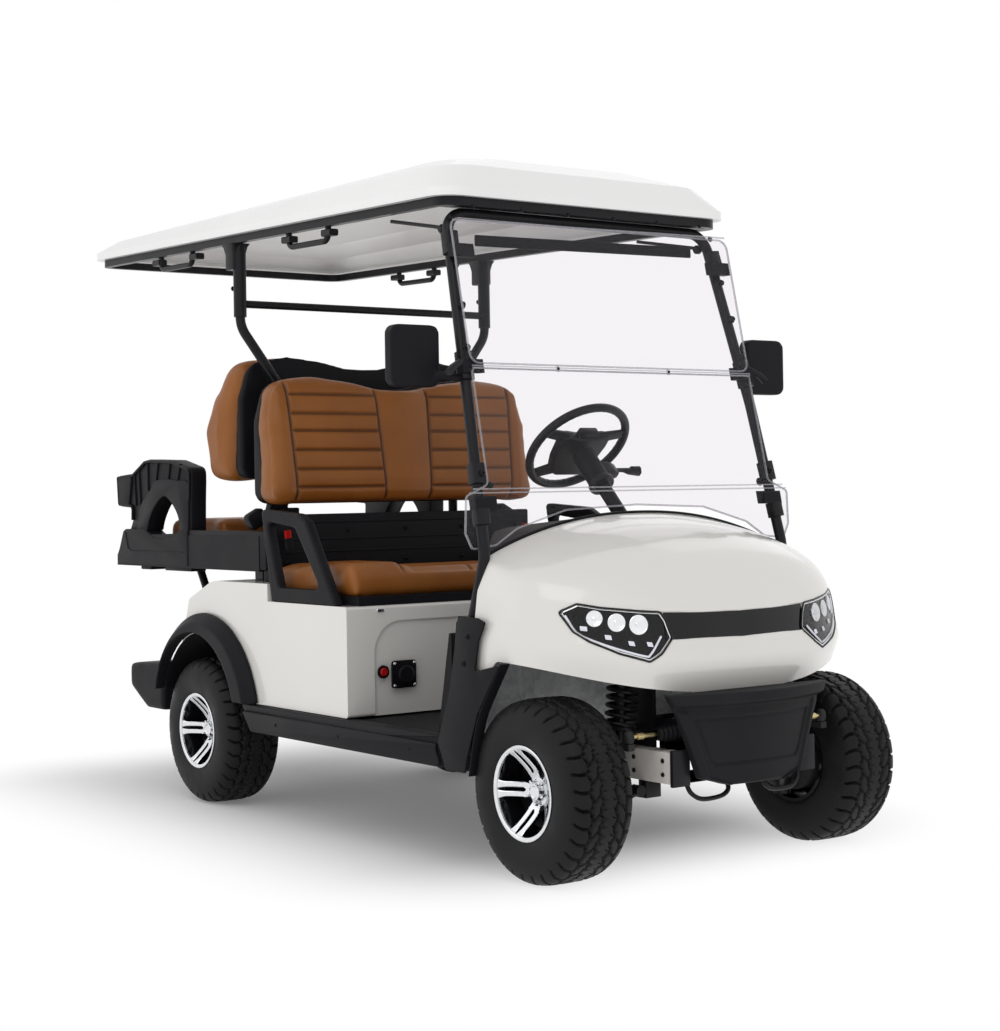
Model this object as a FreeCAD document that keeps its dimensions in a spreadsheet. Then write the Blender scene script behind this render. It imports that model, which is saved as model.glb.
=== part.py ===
import FreeCAD, Part
import math
import os
import re
import types
import Sketcher
from FreeCAD import Placement, Rotation, Vector

# Golf cart with a front bench, a rear-facing flip bench, a roof and a folding windscreen.
# Its front faces -Y, its left side faces +X, and it stands on z = 0 with its middle at the origin.
# Every y below is measured rearwards from the front axle until the nodes are placed at the end.

sizes = {
    "cart": {
        "overallLength": 2850, "frontOverhang": 297, "wheelBase": 1700,
        "frontTrackHalf": 454.5, "rearTrackHalf": 463, "fitGap": 0.3, "overrun": 40,
    },
    "wheels": {
        "tyreRadius": 228, "treadHalf": 62, "shoulderHalf": 84, "shoulderRadius": 212,
        "sideHalf": 95, "sideRadius": 172, "beadHalf": 87, "beadRadius": 110,
        "flangeRadius": 114, "flangeWidth": 4, "barrelWall": 7, "webFace": 84, "webBack": 68,
        "dishFace": 40, "dishBack": 24, "hubRadius": 34, "hubBack": 10, "capRadius": 25,
        "capFace": 52, "shaftRadius": 14, "shaftGap": 0.05, "shaftReach": 22,
        "spokeWidth": 14, "slotWidth": 11, "windowInner": 46, "windowOuter": 100,
    },
    "chassis": {
        "railCentre": 215, "railWidth": 50, "railBottom": 275, "railTop": 325,
        "railFront": 52, "railRear": 2140, "crossWidth": 50, "firstCross": 360,
        "secondCross": 780, "thirdCross": 1260, "rearCross": 2010, "columnFront": 1345,
        "columnRear": 1830, "outriggerReach": 520, "outriggerHeight": 30,
        "frontOutrigger": 440, "rearOutrigger": 1130,
    },
    "subframe": {
        "hornFront": -212, "hornBottom": 240, "hornTop": 318, "rackPlateFront": -178,
        "rackPlateRear": -122, "plateThickness": 10, "towerFront": -92, "capRear": -12,
        "towerTop": 532, "towerReach": 304, "pivotFront": -105, "pivotRear": 15,
        "pivotLength": 30, "pivotDrop": 195,
    },
    "frontSuspension": {
        "kingpinHalf": 330, "bushRadius": 15, "bushHeight": 215, "ballRadius": 23,
        "ballBottom": 138, "ballTop": 198, "legHeight": 155, "legRadius": 11, "upperArmFront": 8,
        "upperArmRear": 34, "upperArmThickness": 14, "upperBallRadius": 20,
        "coilRadius": 42, "coilCore": 32, "coilEnd": 14, "damperRadius": 10.5,
        "shockTopX": 262, "shockTopY": -50, "shockSeatShare": 0.3, "springShareLow": 0.54,
    },
    "knuckle": {
        "uprightInner": 310, "uprightOuter": 341, "uprightDepth": 56, "uprightTop": 343,
        "carrierRadius": 30, "drumRadius": 84, "drumInner": 360, "drumOuter": 424,
        "armLength": 150, "armWidth": 20, "armThickness": 16,
    },
    "rack": {
        "rackHousingRadius": 22, "rackHousingHalf": 112, "rackHeight": 362, "rackRodRadius": 9,
        "bellowsHalf": 172, "bellowsRadius": 27, "bellowsEnd": 17, "rodEyeRadius": 15,
        "lockNutRadius": 13, "lockNutInner": 282, "lockNutOuter": 306,
    },
    "rearAxle": {
        "axleRadius": 36, "axleHalf": 376, "rearDrumOuter": 430, "casingRadius": 80,
        "casingLeft": 30, "casingRight": 110, "motorRadius": 84, "motorEnd": 180,
        "leafInner": 307, "leafOuter": 353, "leafFront": 1392, "leafRear": 1998,
        "leafThickness": 20, "leafSeatHalf": 60,
    },
    "battery": {
        "batteryHalf": 300, "batteryFront": 880, "batteryRear": 1235, "batteryBottom": 335,
        "batteryTop": 600,
    },
    "floor": {
        "floorHalf": 518, "floorThickness": 10, "toeFoot": 400,
        "toeTopFront": 334, "toeTop": 600,
    },
    "rocker": {
        "rockerInner": 520, "rockerOuter": 566, "rockerFrontFoot": 318,
        "rockerRearTop": 1404, "rockerRearFoot": 1335, "rockerTop": 340, "rockerBottom": 255,
        "rockerRound": 12,
    },
    "pillarCover": {
        "coverInner": 527, "coverOuter": 567, "coverTop": 650, "coverTopFront": 192,
        "coverTopRear": 240, "coverNeckRear": 300, "coverNeckHeight": 400,
        "coverFootFront": 250, "coverFootRear": 341, "skirtInner": 556, "skirtNose": 60,
        "skirtNoseHeight": 538, "skirtLip": 166, "skirtLipHeight": 516, "skirtTopFront": 122,
        "skirtTop": 638, "skirtBow": 112, "skirtBowHeight": 470, "skirtHollow": 158,
        "skirtHollowHeight": 408, "skirtFoot": 205, "skirtFootHeight": 296,
    },
    "bulkhead": {
        "bulkheadHalf": 500, "bulkheadFront": 322, "bulkheadBottom": 335, "bulkheadTop": 640,
        "ribHalf": 14, "ribPlace": 300, "ribDepth": 12,
    },
    "cowl": {
        "cowlHalf": 550, "cowlRear": 184, "cowlDepth": 416, "cowlBottom": 456,
        "cowlHeight": 445, "cowlWall": 4, "notchGap": 3, "notchLow": 682,
    },
    "lights": {
        "lampInner": 236, "lampOuter": 492, "lampTipInner": 222, "lampLowX": 292,
        "bandTop": 662, "bandBottom": 597, "lampLow": 541, "lampOuterTop": 678,
        "lampOuterLow": 655, "bezelLap": 9, "bezelThickness": 7, "lampFront": -290,
    },
    "bumper": {
        "bumperFront": -297, "bumperRear": -212.3, "bumperTop": 464, "bumperTopHalf": 272,
        "bumperFoot": 250, "bumperFootHalf": 176, "bumperLow": 230, "bumperLowHalf": 105,
        "bumperRound": 16, "bumperBow": 62, "bumperBrow": 26, "bumperBrowDepth": 20,
        "insetTop": 398, "insetTopHalf": 190, "insetFoot": 284, "insetFootHalf": 134,
        "insetDepth": 6,
    },
    "dashboard": {
        "dashHalf": 494, "lipDrop": 2, "rearDrop": 34, "dashRear": 402, "dashFoot": 640,
        "dashEndRear": 214, "dashMiddleHalf": 330, "shelfFloor": 725, "shelfRoof": 800,
        "shelfInner": 60, "shelfOuter": 320, "shelfDepth": 130,
    },
    "column": {
        "wheelX": 250, "wheelY": 764, "wheelZ": 1096, "columnRun": 200, "columnRise": 207,
        "columnRadius": 21, "columnLength": 520, "shroudRadius": 34, "shroudLength": 130,
        "shroudGap": 14, "steeringRadius": 160, "gripRadius": 13.5, "padRadius": 62,
        "padThickness": 44, "spokeDepth": 12, "steerSpokeWidth": 34, "stalkLength": 150,
        "stalkRadius": 6, "knobRadius": 11, "knobLength": 30,
    },
    "pedals": {
        "pedalOuter": 120, "pedalMiddle": 230, "pedalWidth": 66,
        "pedalHeight": 78, "pedalLow": 400, "pedalFace": 470, "pedalThickness": 14,
        "pedalStem": 16,
    },
    "rearBody": {
        "bodyHalf": 545, "bodyFront": 806, "bodyFloor": 341, "bodySeat": 650, "humpFront": 1252,
        "humpTop": 702, "humpRear": 1600, "shoulderRear": 1758, "shoulderDrop": 640,
        "bodyRear": 1822, "tailHeight": 470, "tailFoot": 1796, "bodyWall": 5,
        "archCentreY": 1672, "archCentreZ": 262, "archRadius": 276, "archDepth": 215,
        "panelInset": 8, "panelLeft": 455, "panelRight": 470, "panelTop": 606, "panelRound": 90,
        "bodyRound": 10, "wellGap": 6, "bayHalf": 430, "bayFront": 862, "bayRear": 1240,
    },
    "flare": {
        "flareReach": 43, "flareCentreY": 1638, "flareCentreZ": 266, "flareRadius": 335,
        "flareFoot": 341, "flareRound": 30, "linerWall": 4, "linerFoot": 345,
    },
    "chargePort": {
        "portX": -362, "portZ": 460, "portWidth": 76, "portHeight": 80, "portDepth": 12,
        "socketRadius": 24, "socketDepth": 30, "socketWall": 6,
    },
    "hip": {
        "hipInner": 519, "hipOuter": 547, "hipFoot": 650.3, "hipFootFront": 860,
        "hipFootRear": 1228, "hipTopRear": 1284, "hipTop": 924, "hipTopFront": 1062,
        "hipNose": 1018, "hipNoseHeight": 888, "hipWindowFoot": 693, "hipWindowFront": 946,
        "hipWindowRear": 1180, "hipWindowTopRear": 1246, "hipWindowTop": 886,
        "hipWindowTopFront": 1086, "hipWindowTopLow": 868, "hipRound": 14,
    },
    "frontSeat": {
        "cushionHalf": 500, "cushionFront": 812, "cushionRear": 1322, "baseTop": 676,
        "cushionNose": 742, "cushionTop": 763, "cushionCrown": 862, "cushionBack": 742,
        "cushionRound": 24, "frontBackHalf": 487, "backFootFront": 1307, "backFootRear": 1400,
        "backTopFront": 1364, "backTopRear": 1446, "backFoot": 930, "backTop": 1338,
        "backRound": 44, "shoulderRound": 70, "backEdge": 22, "frontShellRear": 1472,
    },
    "rearSeat": {
        "rearBackHalf": 470, "rearShellFront": 1575, "rearShellFoot": 1628, "rearShellTop": 1592,
        "rearBackFoot": 1012, "rearBackTop": 1412, "rearBackFootRear": 1752,
        "rearBackMidRear": 1786, "rearBackMid": 1170, "rearBackTopRear": 1662,
        "rearCushionHalf": 395, "rearCushionFront": 1800, "rearCushionRear": 2212,
        "rearPanelBottom": 776, "rearPanelTop": 794, "rearCushionTop": 884,
        "rearCushionRound": 26, "hingeRadius": 8, "hingePinRadius": 4, "hingePinLength": 12,
        "hingeSideGap": 5,
    },
    "rearDeck": {
        "deckHalf": 500, "deckFront": 1382, "deckRear": 2384, "deckBottom": 733,
        "deckFloor": 770, "deckRim": 840, "rimWall": 14, "rimRearFoot": 2395,
        "rimRearTop": 2328,
    },
    "armrest": {
        "armInner": 408, "armOuter": 500, "armWeb": 442, "armFoot": 840.3, "armFootFront": 1848,
        "armNose": 1822, "armNoseLow": 960, "armNoseTop": 1058, "armTopFront": 1880,
        "armTop": 1092, "armTopRear": 2160, "armTrayFront": 2262, "armTrayTop": 1040,
        "armTrayRear": 2393, "armTrayLow": 926, "armFootRear": 2290, "archFront": 1900,
        "archRear": 2236, "archTop": 972, "archLean": 74, "archRound": 70, "cupRadius": 36,
        "cupDepth": 62, "armRound": 14,
    },
    "rearStep": {
        "stepHalf": 455, "stepFront": 2140.3, "stepRear": 2398, "stepTop": 412,
        "stepRearTop": 392, "stepRearLow": 313, "stepLowRear": 2274, "stepLow": 246,
        "stepRound": 12, "stayRadius": 13, "stayPlace": 380, "stayTop": 2008, "stayFoot": 1850,
        "stayFootHeight": 500,
    },
    "roof": {
        "roofHalf": 508, "roofFront": 352, "roofRear": 2553, "roofLip": 1744, "roofRise": 54,
        "lipHeight": 24, "edgeFront": 1836, "edgeRear": 1858, "edgeInset": 50,
        "crownFront": 1878, "crownRear": 1888, "crownInset": 100, "roofCorner": 70,
        "roofWall": 5, "roofRail": 24,
        "roofRailHalf": 488, "roofRailFront": 371, "roofRailRear": 2528, "railCorner": 60,
        "handleLength": 226, "handleDrop": 40, "handleRadius": 9, "handleBend": 24,
        "firstHandle": 992, "secondHandle": 1842, "handleInset": 16,
    },
    "frontStruts": {
        "strutRadius": 15, "hoopX": 456, "hoopY": 418, "strutMidX": 496,
        "strutMidY": 273, "strutMidZ": 1200, "strutLowX": 519, "strutLowY": 177,
        "strutLowZ": 800, "strutFootX": 543, "strutFootY": 226, "strutFootZ": 560,
        "hoopBend": 60, "strutBend": 320, "strutFootBend": 120,
    },
    "windscreen": {
        "glassHalf": 489, "glassThickness": 5, "glassTop": 1672, "glassTopY": 352,
        "hingeZ": 1290, "hingeGap": 4, "lowerBend": 972, "glassLowY": 195, "lowerHalf": 562,
        "lowerWideTop": 955, "lowerFoot": 816, "lowerShoulder": 868, "lowerShoulderX": 400,
        "lowerArch": 912, "lowerArchX": 240, "lowerRound": 40, "clipReach": 22,
        "clipInboard": 44, "clipHeight": 36, "highClip": 1598, "lowClip": 936, "clipDepth": 30,
    },
    "rearStruts": {
        "rearStrutX": 467, "rearStrutY": 1537, "rearBendTop": 1490,
        "rearStrutFootX": 325, "rearStrutTurn": 1300,
        "rearStrutFoot": 770.3, "rearStrutBend": 90, "crossbarZ": 1561, "crossbarRadius": 12,
        "sleeveRadius": 20, "sleeveFoot": 1520, "bracketLow": 1060, "bracketHigh": 1260,
        "bracketHeight": 40, "bracketHalf": 20,
    },
    "mirror": {
        "mirrorInner": 541, "mirrorOuter": 690, "mirrorLow": 1236, "mirrorHigh": 1396,
        "mirrorFront": 330, "mirrorRear": 366, "mirrorRound": 24, "mirrorArmZ": 1258,
        "mirrorArmRadius": 11,
    },
    "belts": {
        "beltX": 372, "beltWidth": 56, "beltFront": 1400, "beltRear": 1470, "beltTop": 925,
    },
    "tailLights": {
        "tailLampInner": 400, "tailLampOuter": 500, "tailLampLow": 506, "tailLampHigh": 580,
        "tailLampDepth": 22,
    },
    "drawing": {"matchDistance": 0.02},
}

doc = FreeCAD.newDocument("GolfCart")
sheet = doc.addObject("Spreadsheet::Sheet", "Sizes")
rowNumber = 0
for groupName, group in sizes.items():
    rowNumber += 1
    sheet.set("A%d" % rowNumber, groupName)
    for sizeName, number in group.items():
        rowNumber += 1
        sheet.set("A%d" % rowNumber, sizeName)
        sheet.set("B%d" % rowNumber, str(number))
        sheet.setAlias("B%d" % rowNumber, sizeName)
doc.recompute()

sizeNames = [name for group in sizes.values() for name in group]
size = types.SimpleNamespace(**{name: float(getattr(sheet, name)) for name in sizeNames})
aliasPattern = re.compile(r"\b(" + "|".join(sizeNames) + r")\b")
nodes = []
blockStarts = {}


def bind(item, name, text):
    # A property follows a sum written with the names of the sheet
    item.setExpression(name, aliasPattern.sub(r"Sizes.\1", text))


def node(item, label):
    # The finished sub-part takes its plain name
    item.Label = label
    nodes.append(item)
    return item


def block(name, x, y, z):
    # A box from a low to a high place on each axis
    item = doc.addObject("Part::Box", name)
    for side, axis, (low, high) in (("Length", "x", x), ("Width", "y", y), ("Height", "z", z)):
        bind(item, side, "(%s) - (%s)" % (high, low))
        bind(item, "Placement.Base." + axis, low)
    blockStarts[item] = y[0]
    return item


axisTurns = {
    "x": Rotation(Vector(0, 1, 0), 90),
    "y": Rotation(Vector(1, 0, 0), -90),
    "z": Rotation(),
}


def rod(name, axis, across, low, high, radius):
    # A round bar along one axis, between two places on it
    item = doc.addObject("Part::Cylinder", name)
    item.Placement = Placement(Vector(), axisTurns[axis])
    bind(item, "Radius", radius)
    bind(item, "Height", "(%s) - (%s)" % (high, low))
    places = dict(zip([letter for letter in "xyz" if letter != axis], across))
    places[axis] = low
    for letter, place in places.items():
        bind(item, "Placement.Base." + letter, place)
    return item


def fuse(name, *items):
    item = doc.addObject("Part::MultiFuse", name)
    item.Shapes = list(items)
    return item


def cut(name, base, *tools):
    item = doc.addObject("Part::Cut", name)
    item.Base = base
    item.Tool = tools[0] if len(tools) == 1 else group(name + "Tools", *tools)
    return item


def common(name, base, tool):
    item = doc.addObject("Part::Common", name)
    item.Base = base
    item.Tool = tool
    return item


def group(name, *items):
    item = doc.addObject("Part::Compound", name)
    item.Links = list(items)
    return item


def mirror(item):
    # The same piece on the other side of the cart's middle plane
    other = doc.addObject("Part::Mirroring", item.Name + "Mirror")
    other.Source = item
    other.Normal = (1, 0, 0)
    return other


def pair(name, item):
    return group(name, item, mirror(item))


def plane(body, role):
    return [item for item in body.Origin.OriginFeatures if item.Role == role][0]


def outline(body, name, role, points):
    # A closed outline whose corners are bound to the sheet
    sketch = body.newObject("Sketcher::SketchObject", name)
    sketch.AttachmentSupport = [(plane(body, role), "")]
    sketch.MapMode = "FlatFace"
    count = len(points)
    spread = size.overallLength / count
    starts = [Vector(spread * step, spread * step * step / count, 0) for step in range(count)]
    for step in range(count):
        after = (step + 1) % count
        sketch.addGeometry(Part.LineSegment(starts[step], starts[after]), False)
    for step in range(count):
        sketch.addConstraint(Sketcher.Constraint("Coincident", step, 2, (step + 1) % count, 1))
    for step, (across, up) in enumerate(points):
        for kind, text in (("DistanceX", across), ("DistanceY", up)):
            held = Sketcher.Constraint(kind, -1, 1, step, 1, spread)
            number = sketch.addConstraint(held)
            bind(sketch, "Constraints[%d]" % number, text)
    return sketch


padRoles = {"x": "YZ_Plane", "y": "XZ_Plane", "z": "XY_Plane"}


def prism(name, axis, points, low, high, rounds=()):
    # An outline carried along one axis; rounds holds (radius, corner numbers)
    body = doc.addObject("PartDesign::Body", name)
    sketch = outline(body, name + "Outline", padRoles[axis], points)
    offset = "-(%s)" % high if axis == "y" else low
    bind(sketch, "AttachmentOffset.Base.z", offset)
    pad = body.newObject("PartDesign::Pad", name + "Pad")
    pad.Profile = sketch
    bind(pad, "Length", "(%s) - (%s)" % (high, low))
    for radius, corners in rounds:
        doc.recompute()
        feature = body.Tip
        edges = cornerEdges(feature, sketch, corners)
        fillet = body.newObject("PartDesign::Fillet", name + "Round")
        fillet.Base = (feature, edges)
        bind(fillet, "Radius", radius)
    return body


def cornerEdges(feature, sketch, corners):
    # Names of the straight edges that stand on chosen corners of the outline
    found = []
    direction = sketch.Placement.Rotation.multVec(Vector(0, 0, 1))
    for corner in corners:
        place = sketch.Placement.multVec(sketch.Geometry[corner].StartPoint)
        for number, edge in enumerate(feature.Shape.Edges, 1):
            start = edge.Vertexes[0].Point - place
            away = edge.Vertexes[-1].Point - place
            aside = max(start.cross(direction).Length, away.cross(direction).Length)
            if aside < size.matchDistance and (start - away).Length > size.matchDistance:
                found.append("Edge%d" % number)
    return found


def turned(name, points):
    # An outline of (place along x, radius) turned about the X axis
    body = doc.addObject("PartDesign::Body", name)
    sketch = outline(body, name + "Outline", "XY_Plane", points)
    turn = body.newObject("PartDesign::Revolution", name + "Turn")
    turn.Profile = sketch
    turn.ReferenceAxis = (sketch, ["H_Axis"])
    turn.Angle = 360
    return body


def feature(name, shape):
    item = doc.addObject("Part::Feature", name)
    item.Shape = shape
    return item


def bentWire(points, bends):
    # Straight runs joined by tangent arcs; bends gives each inner corner's radius
    edges = []
    start = points[0]
    for before, corner, after, bend in zip(points, points[1:], points[2:], bends):
        inward = (before - corner).normalize()
        outward = (after - corner).normalize()
        half = inward.getAngle(outward) / 2
        reach = bend / math.tan(half)
        middle = (inward + outward).normalize() * (bend / math.sin(half) - bend)
        arcStart = corner + inward * reach
        arcEnd = corner + outward * reach
        edges.append(Part.LineSegment(start, arcStart).toShape())
        edges.append(Part.Arc(arcStart, corner + middle, arcEnd).toShape())
        start = arcEnd
    edges.append(Part.LineSegment(start, points[-1]).toShape())
    return Part.Wire(edges)


def tube(points, radius, bends=()):
    # A round bar swept along straight runs and tangent arcs
    path = bentWire(points, bends)
    direction = points[1] - points[0]
    ring = Part.Wire(Part.makeCircle(radius, points[0], direction))
    return path.makePipeShell([ring], True, True)


def gridFace(grid):
    # A smooth face through a grid of points
    surface = Part.BSplineSurface()
    surface.interpolate(grid)
    return surface.toShape()


def sheetSolid(outer, inner):
    # A wall between two smooth faces whose edges are joined by ruled faces
    faces = [gridFace(outer), gridFace(inner)]
    rims = [
        (outer[0], inner[0]), (outer[-1], inner[-1]),
        ([row[0] for row in outer], [row[0] for row in inner]),
        ([row[-1] for row in outer], [row[-1] for row in inner]),
    ]
    for outerRim, innerRim in rims:
        first = nearestEdge(faces[0], outerRim)
        second = nearestEdge(faces[1], innerRim)
        faces.append(Part.makeRuledSurface(first, second))
    shell = Part.makeShell(faces)
    shell.sewShape()
    solid = Part.makeSolid(shell)
    if solid.Volume < 0:
        solid.reverse()
    return solid


def nearestEdge(face, rim):
    # The face's edge that runs along a row of points
    middle = rim[len(rim) // 2]
    return min(face.Edges, key=lambda edge: edge.distToShape(Part.Vertex(middle))[0])


def roundedWire(halfWidth, front, rear, frontHeight, rearHeight, corner):
    # A rounded rectangle around the roof, at its own height in front and behind
    spot = [
        Vector(-halfWidth, front, frontHeight), Vector(halfWidth, front, frontHeight),
        Vector(halfWidth, rear, rearHeight), Vector(-halfWidth, rear, rearHeight),
    ]
    diagonal = corner * (1 - math.sqrt(0.5))
    edges = []
    for step in range(4):
        here = spot[step]
        ahead = (spot[(step + 1) % 4] - here).normalize()
        back = (spot[step - 1] - here).normalize()
        onward = (spot[(step + 2) % 4] - spot[(step + 1) % 4]).normalize()
        arc = Part.Arc(here + back * corner, here + (ahead + back) * diagonal, here + ahead * corner)
        edges.append(arc.toShape())
        lineEnd = spot[(step + 1) % 4] - ahead * corner
        edges.append(Part.LineSegment(here + ahead * corner, lineEnd).toShape())
    return Part.Wire(edges)


# Wheels: five pairs of spokes behind a machined ring, and a plain carcass out to the tread's tips
spokeAngle = 36
spokeSine = "sin(%d)" % spokeAngle
spokeCosine = "cos(%d)" % spokeAngle
pairHalf = "(spokeWidth + slotWidth / 2)"


def windowOutline():
    # The gap between two pairs of spokes, about the line half way between them
    inner = "windowInner * {0} + {2} * {1}".format(spokeCosine, spokeSine, pairHalf)
    innerSide = "windowInner * {1} - {2} * {0}".format(spokeCosine, spokeSine, pairHalf)
    reach = "(sqrt(windowOuter ^ 2 - %s ^ 2))" % pairHalf
    outer = "{3} * {0} + {2} * {1}".format(spokeCosine, spokeSine, pairHalf, reach)
    outerSide = "{3} * {1} - {2} * {0}".format(spokeCosine, spokeSine, pairHalf, reach)
    return [
        (inner, "-(%s)" % innerSide), (outer, "-(%s)" % outerSide), ("windowOuter", "0"),
        (outer, outerSide), (inner, innerSide),
    ]


def slotOutline():
    # The slot inside a pair, opposite a window
    return [
        ("-windowInner", "-slotWidth / 2"), ("-windowInner", "slotWidth / 2"),
        ("-windowOuter", "slotWidth / 2"), ("-windowOuter", "-slotWidth / 2"),
    ]


def rim(name):
    barrel = "beadRadius - fitGap"
    inside = "beadRadius - fitGap - barrelWall"
    edge = "beadHalf + 4 * fitGap"
    lip = "beadHalf + 4 * fitGap + flangeWidth"
    body = turned(name, [
        ("-hubBack", "shaftRadius + shaftGap"), ("shaftReach", "shaftRadius + shaftGap"),
        ("shaftReach", "0"), ("capFace", "0"), ("capFace", "capRadius"),
        ("dishFace", "capRadius"), ("dishFace", "hubRadius"), ("webFace", inside),
        (lip, "flangeRadius - flangeWidth"),
        (lip, "flangeRadius"), (edge, "flangeRadius"), (edge, barrel),
        ("-(%s)" % edge, barrel), ("-(%s)" % edge, "flangeRadius"),
        ("-(%s)" % lip, "flangeRadius"), ("-(%s)" % lip, inside),
        ("webBack", inside), ("dishBack", "hubRadius"), ("-hubBack", "hubRadius"),
    ])
    for part, points in (("Window", windowOutline()), ("Slot", slotOutline())):
        sketch = outline(body, name + part, "YZ_Plane", points)
        bind(sketch, "AttachmentOffset.Base.z", "dishBack - fitGap")
        pocket = body.newObject("PartDesign::Pocket", name + part + "Pocket")
        pocket.Profile = sketch
        pocket.Reversed = True
        bind(pocket, "Length", "webFace - dishBack + 2 * fitGap")
        repeat = body.newObject("PartDesign::PolarPattern", name + part + "Pattern")
        repeat.Originals = [pocket]
        repeat.Axis = (sketch, ["N_Axis"])
        repeat.Angle = 360
        repeat.Occurrences = 5
        body.Tip = repeat
    return body


def tyre(name):
    return turned(name, [
        ("-beadHalf", "beadRadius"), ("-sideHalf", "sideRadius"),
        ("-shoulderHalf", "shoulderRadius"), ("-treadHalf", "tyreRadius"),
        ("treadHalf", "tyreRadius"), ("shoulderHalf", "shoulderRadius"),
        ("sideHalf", "sideRadius"), ("beadHalf", "beadRadius"),
    ])


def standWheel(body, side, trackHalf, axle):
    # Each wheel's machined face looks away from the cart
    if side < 0:
        body.Placement = Placement(Vector(), Rotation(Vector(0, 0, 1), 180))
    bind(body, "Placement.Base.x", "%d * %s" % (side, trackHalf))
    bind(body, "Placement.Base.y", "frontOverhang - overallLength / 2 + %s" % axle)
    bind(body, "Placement.Base.z", "tyreRadius")


standing = []
for end, axle, trackHalf in (("front", "0", "frontTrackHalf"), ("rear", "wheelBase", "rearTrackHalf")):
    for hand, side in (("left", 1), ("right", -1)):
        for make in (rim, tyre):
            label = "%s_%s_%s" % (make.__name__, end, hand)
            wheelPart = node(make(label), label)
            standWheel(wheelPart, side, trackHalf, axle)
            standing.append(wheelPart)


# Chassis: two box rails, cross members, seat columns and outriggers for the rocker panels
railInner = "railCentre - railWidth / 2"
railOuter = "railCentre + railWidth / 2"
chassisPieces = [
    block("RailLeft", (railInner, railOuter), ("railFront", "railRear"), ("railBottom", "railTop")),
    block("RailRight", ("-(%s)" % railOuter, "-(%s)" % railInner), ("railFront", "railRear"),
          ("railBottom", "railTop")),
]
for place in ("firstCross", "secondCross", "thirdCross", "rearCross"):
    chassisPieces.append(block(
        "Cross" + place, ("-(%s)" % railInner, railInner), (place, place + " + crossWidth"),
        ("railBottom", "railTop")))
for place in ("frontOutrigger", "rearOutrigger"):
    chassisPieces.append(block(
        "Beam" + place, ("-outriggerReach", "outriggerReach"), (place, place + " + crossWidth"),
        ("railTop - outriggerHeight", "railTop")))
for place in ("columnFront", "columnRear"):
    for low, high in ((railInner, railOuter), ("-(%s)" % railOuter, "-(%s)" % railInner)):
        chassisPieces.append(block(
            "Stand" + place, (low, high), (place, place + " + crossWidth"),
            ("railTop", "deckBottom")))
for place in ("leafFront", "leafRear - crossWidth"):
    chassisPieces.append(block(
        "Hanger", ("-leafOuter", "leafOuter"), (place, place + " + crossWidth"),
        ("railTop - outriggerHeight / 2", "railTop")))
node(fuse("Chassis", *chassisPieces), "chassis_frame")

# Front subframe: bright horns, a rack plate, damper towers and arm pivots
horn = block("Horn", (railInner, railOuter), ("hornFront", "railFront"), ("hornBottom", "hornTop"))
rackPlate = block("RackPlate", ("0", railInner), ("rackPlateFront", "rackPlateRear"),
                  ("hornTop - plateThickness", "hornTop"))
towerWall = block("TowerWall", (railInner, railInner + " + plateThickness"),
                  ("towerFront", "railFront"), ("hornTop", "towerTop"))
towerCap = block("TowerCap", (railInner, "towerReach"), ("towerFront", "capRear"),
                 ("towerTop - plateThickness", "towerTop"))
pivots = [
    block("Pivot" + place, (railInner, railOuter), (place, place + " + pivotLength"),
          ("pivotDrop", "hornBottom"))
    for place in ("pivotFront", "pivotRear")
]
subframeHalf = fuse("SubframeHalf", horn, rackPlate, towerWall, towerCap, *pivots)
node(fuse("Subframe", subframeHalf, mirror(subframeHalf)), "front_subframe")

# Lower and upper arms that hold each knuckle between two ball seats
bushX = size.railCentre + size.railWidth / 2 + size.fitGap + size.bushRadius
ballPlace = Vector(size.kingpinHalf, 0, size.legHeight)
lowerParts = []
for place in (size.pivotFront, size.pivotRear):
    middle = Vector(bushX, place + size.pivotLength / 2, size.bushHeight)
    lowerParts.append(Part.makeCylinder(
        size.bushRadius, size.pivotLength, Vector(bushX, place, size.bushHeight), Vector(0, 1, 0)))
    lowerParts.append(tube([middle, ballPlace], size.legRadius))
lowerParts.append(Part.makeCylinder(
    size.ballRadius, size.ballTop - size.ballBottom - size.fitGap,
    Vector(size.kingpinHalf, 0, size.ballBottom)))
lowerArm = feature("LowerArm", lowerParts[0].multiFuse(lowerParts[1:]).removeSplitter())
upperBar = block("UpperBar", (railInner + " + plateThickness + fitGap", "kingpinHalf"),
                 ("upperArmFront", "upperArmRear"),
                 ("uprightTop + fitGap", "uprightTop + upperArmThickness"))
upperBall = rod("UpperBall", "z", ("kingpinHalf", "0"), "uprightTop + fitGap",
                "uprightTop + upperArmThickness", "upperBallRadius")
upperArm = fuse("UpperArm", upperBar, upperBall)
node(group("Arms", lowerArm, upperArm, mirror(lowerArm), mirror(upperArm)), "front_suspension_arms")


def ridgedProfile(length, outer, core, ridges):
    # Half outline of a spring: teeth as high as the wire, round a core
    corners = [Vector(0, 0, 0), Vector(core, 0, 0)]
    for step in range(ridges):
        corners.append(Vector(outer, 0, length * (step + 0.5) / ridges))
        corners.append(Vector(core, 0, length * (step + 1) / ridges))
    corners.append(Vector(0, 0, length))
    return corners


def alongPlacement(start, end):
    # Carries the Z axis onto the line from start to end
    return Placement(start, Rotation(Vector(0, 0, 1), end - start))


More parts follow.
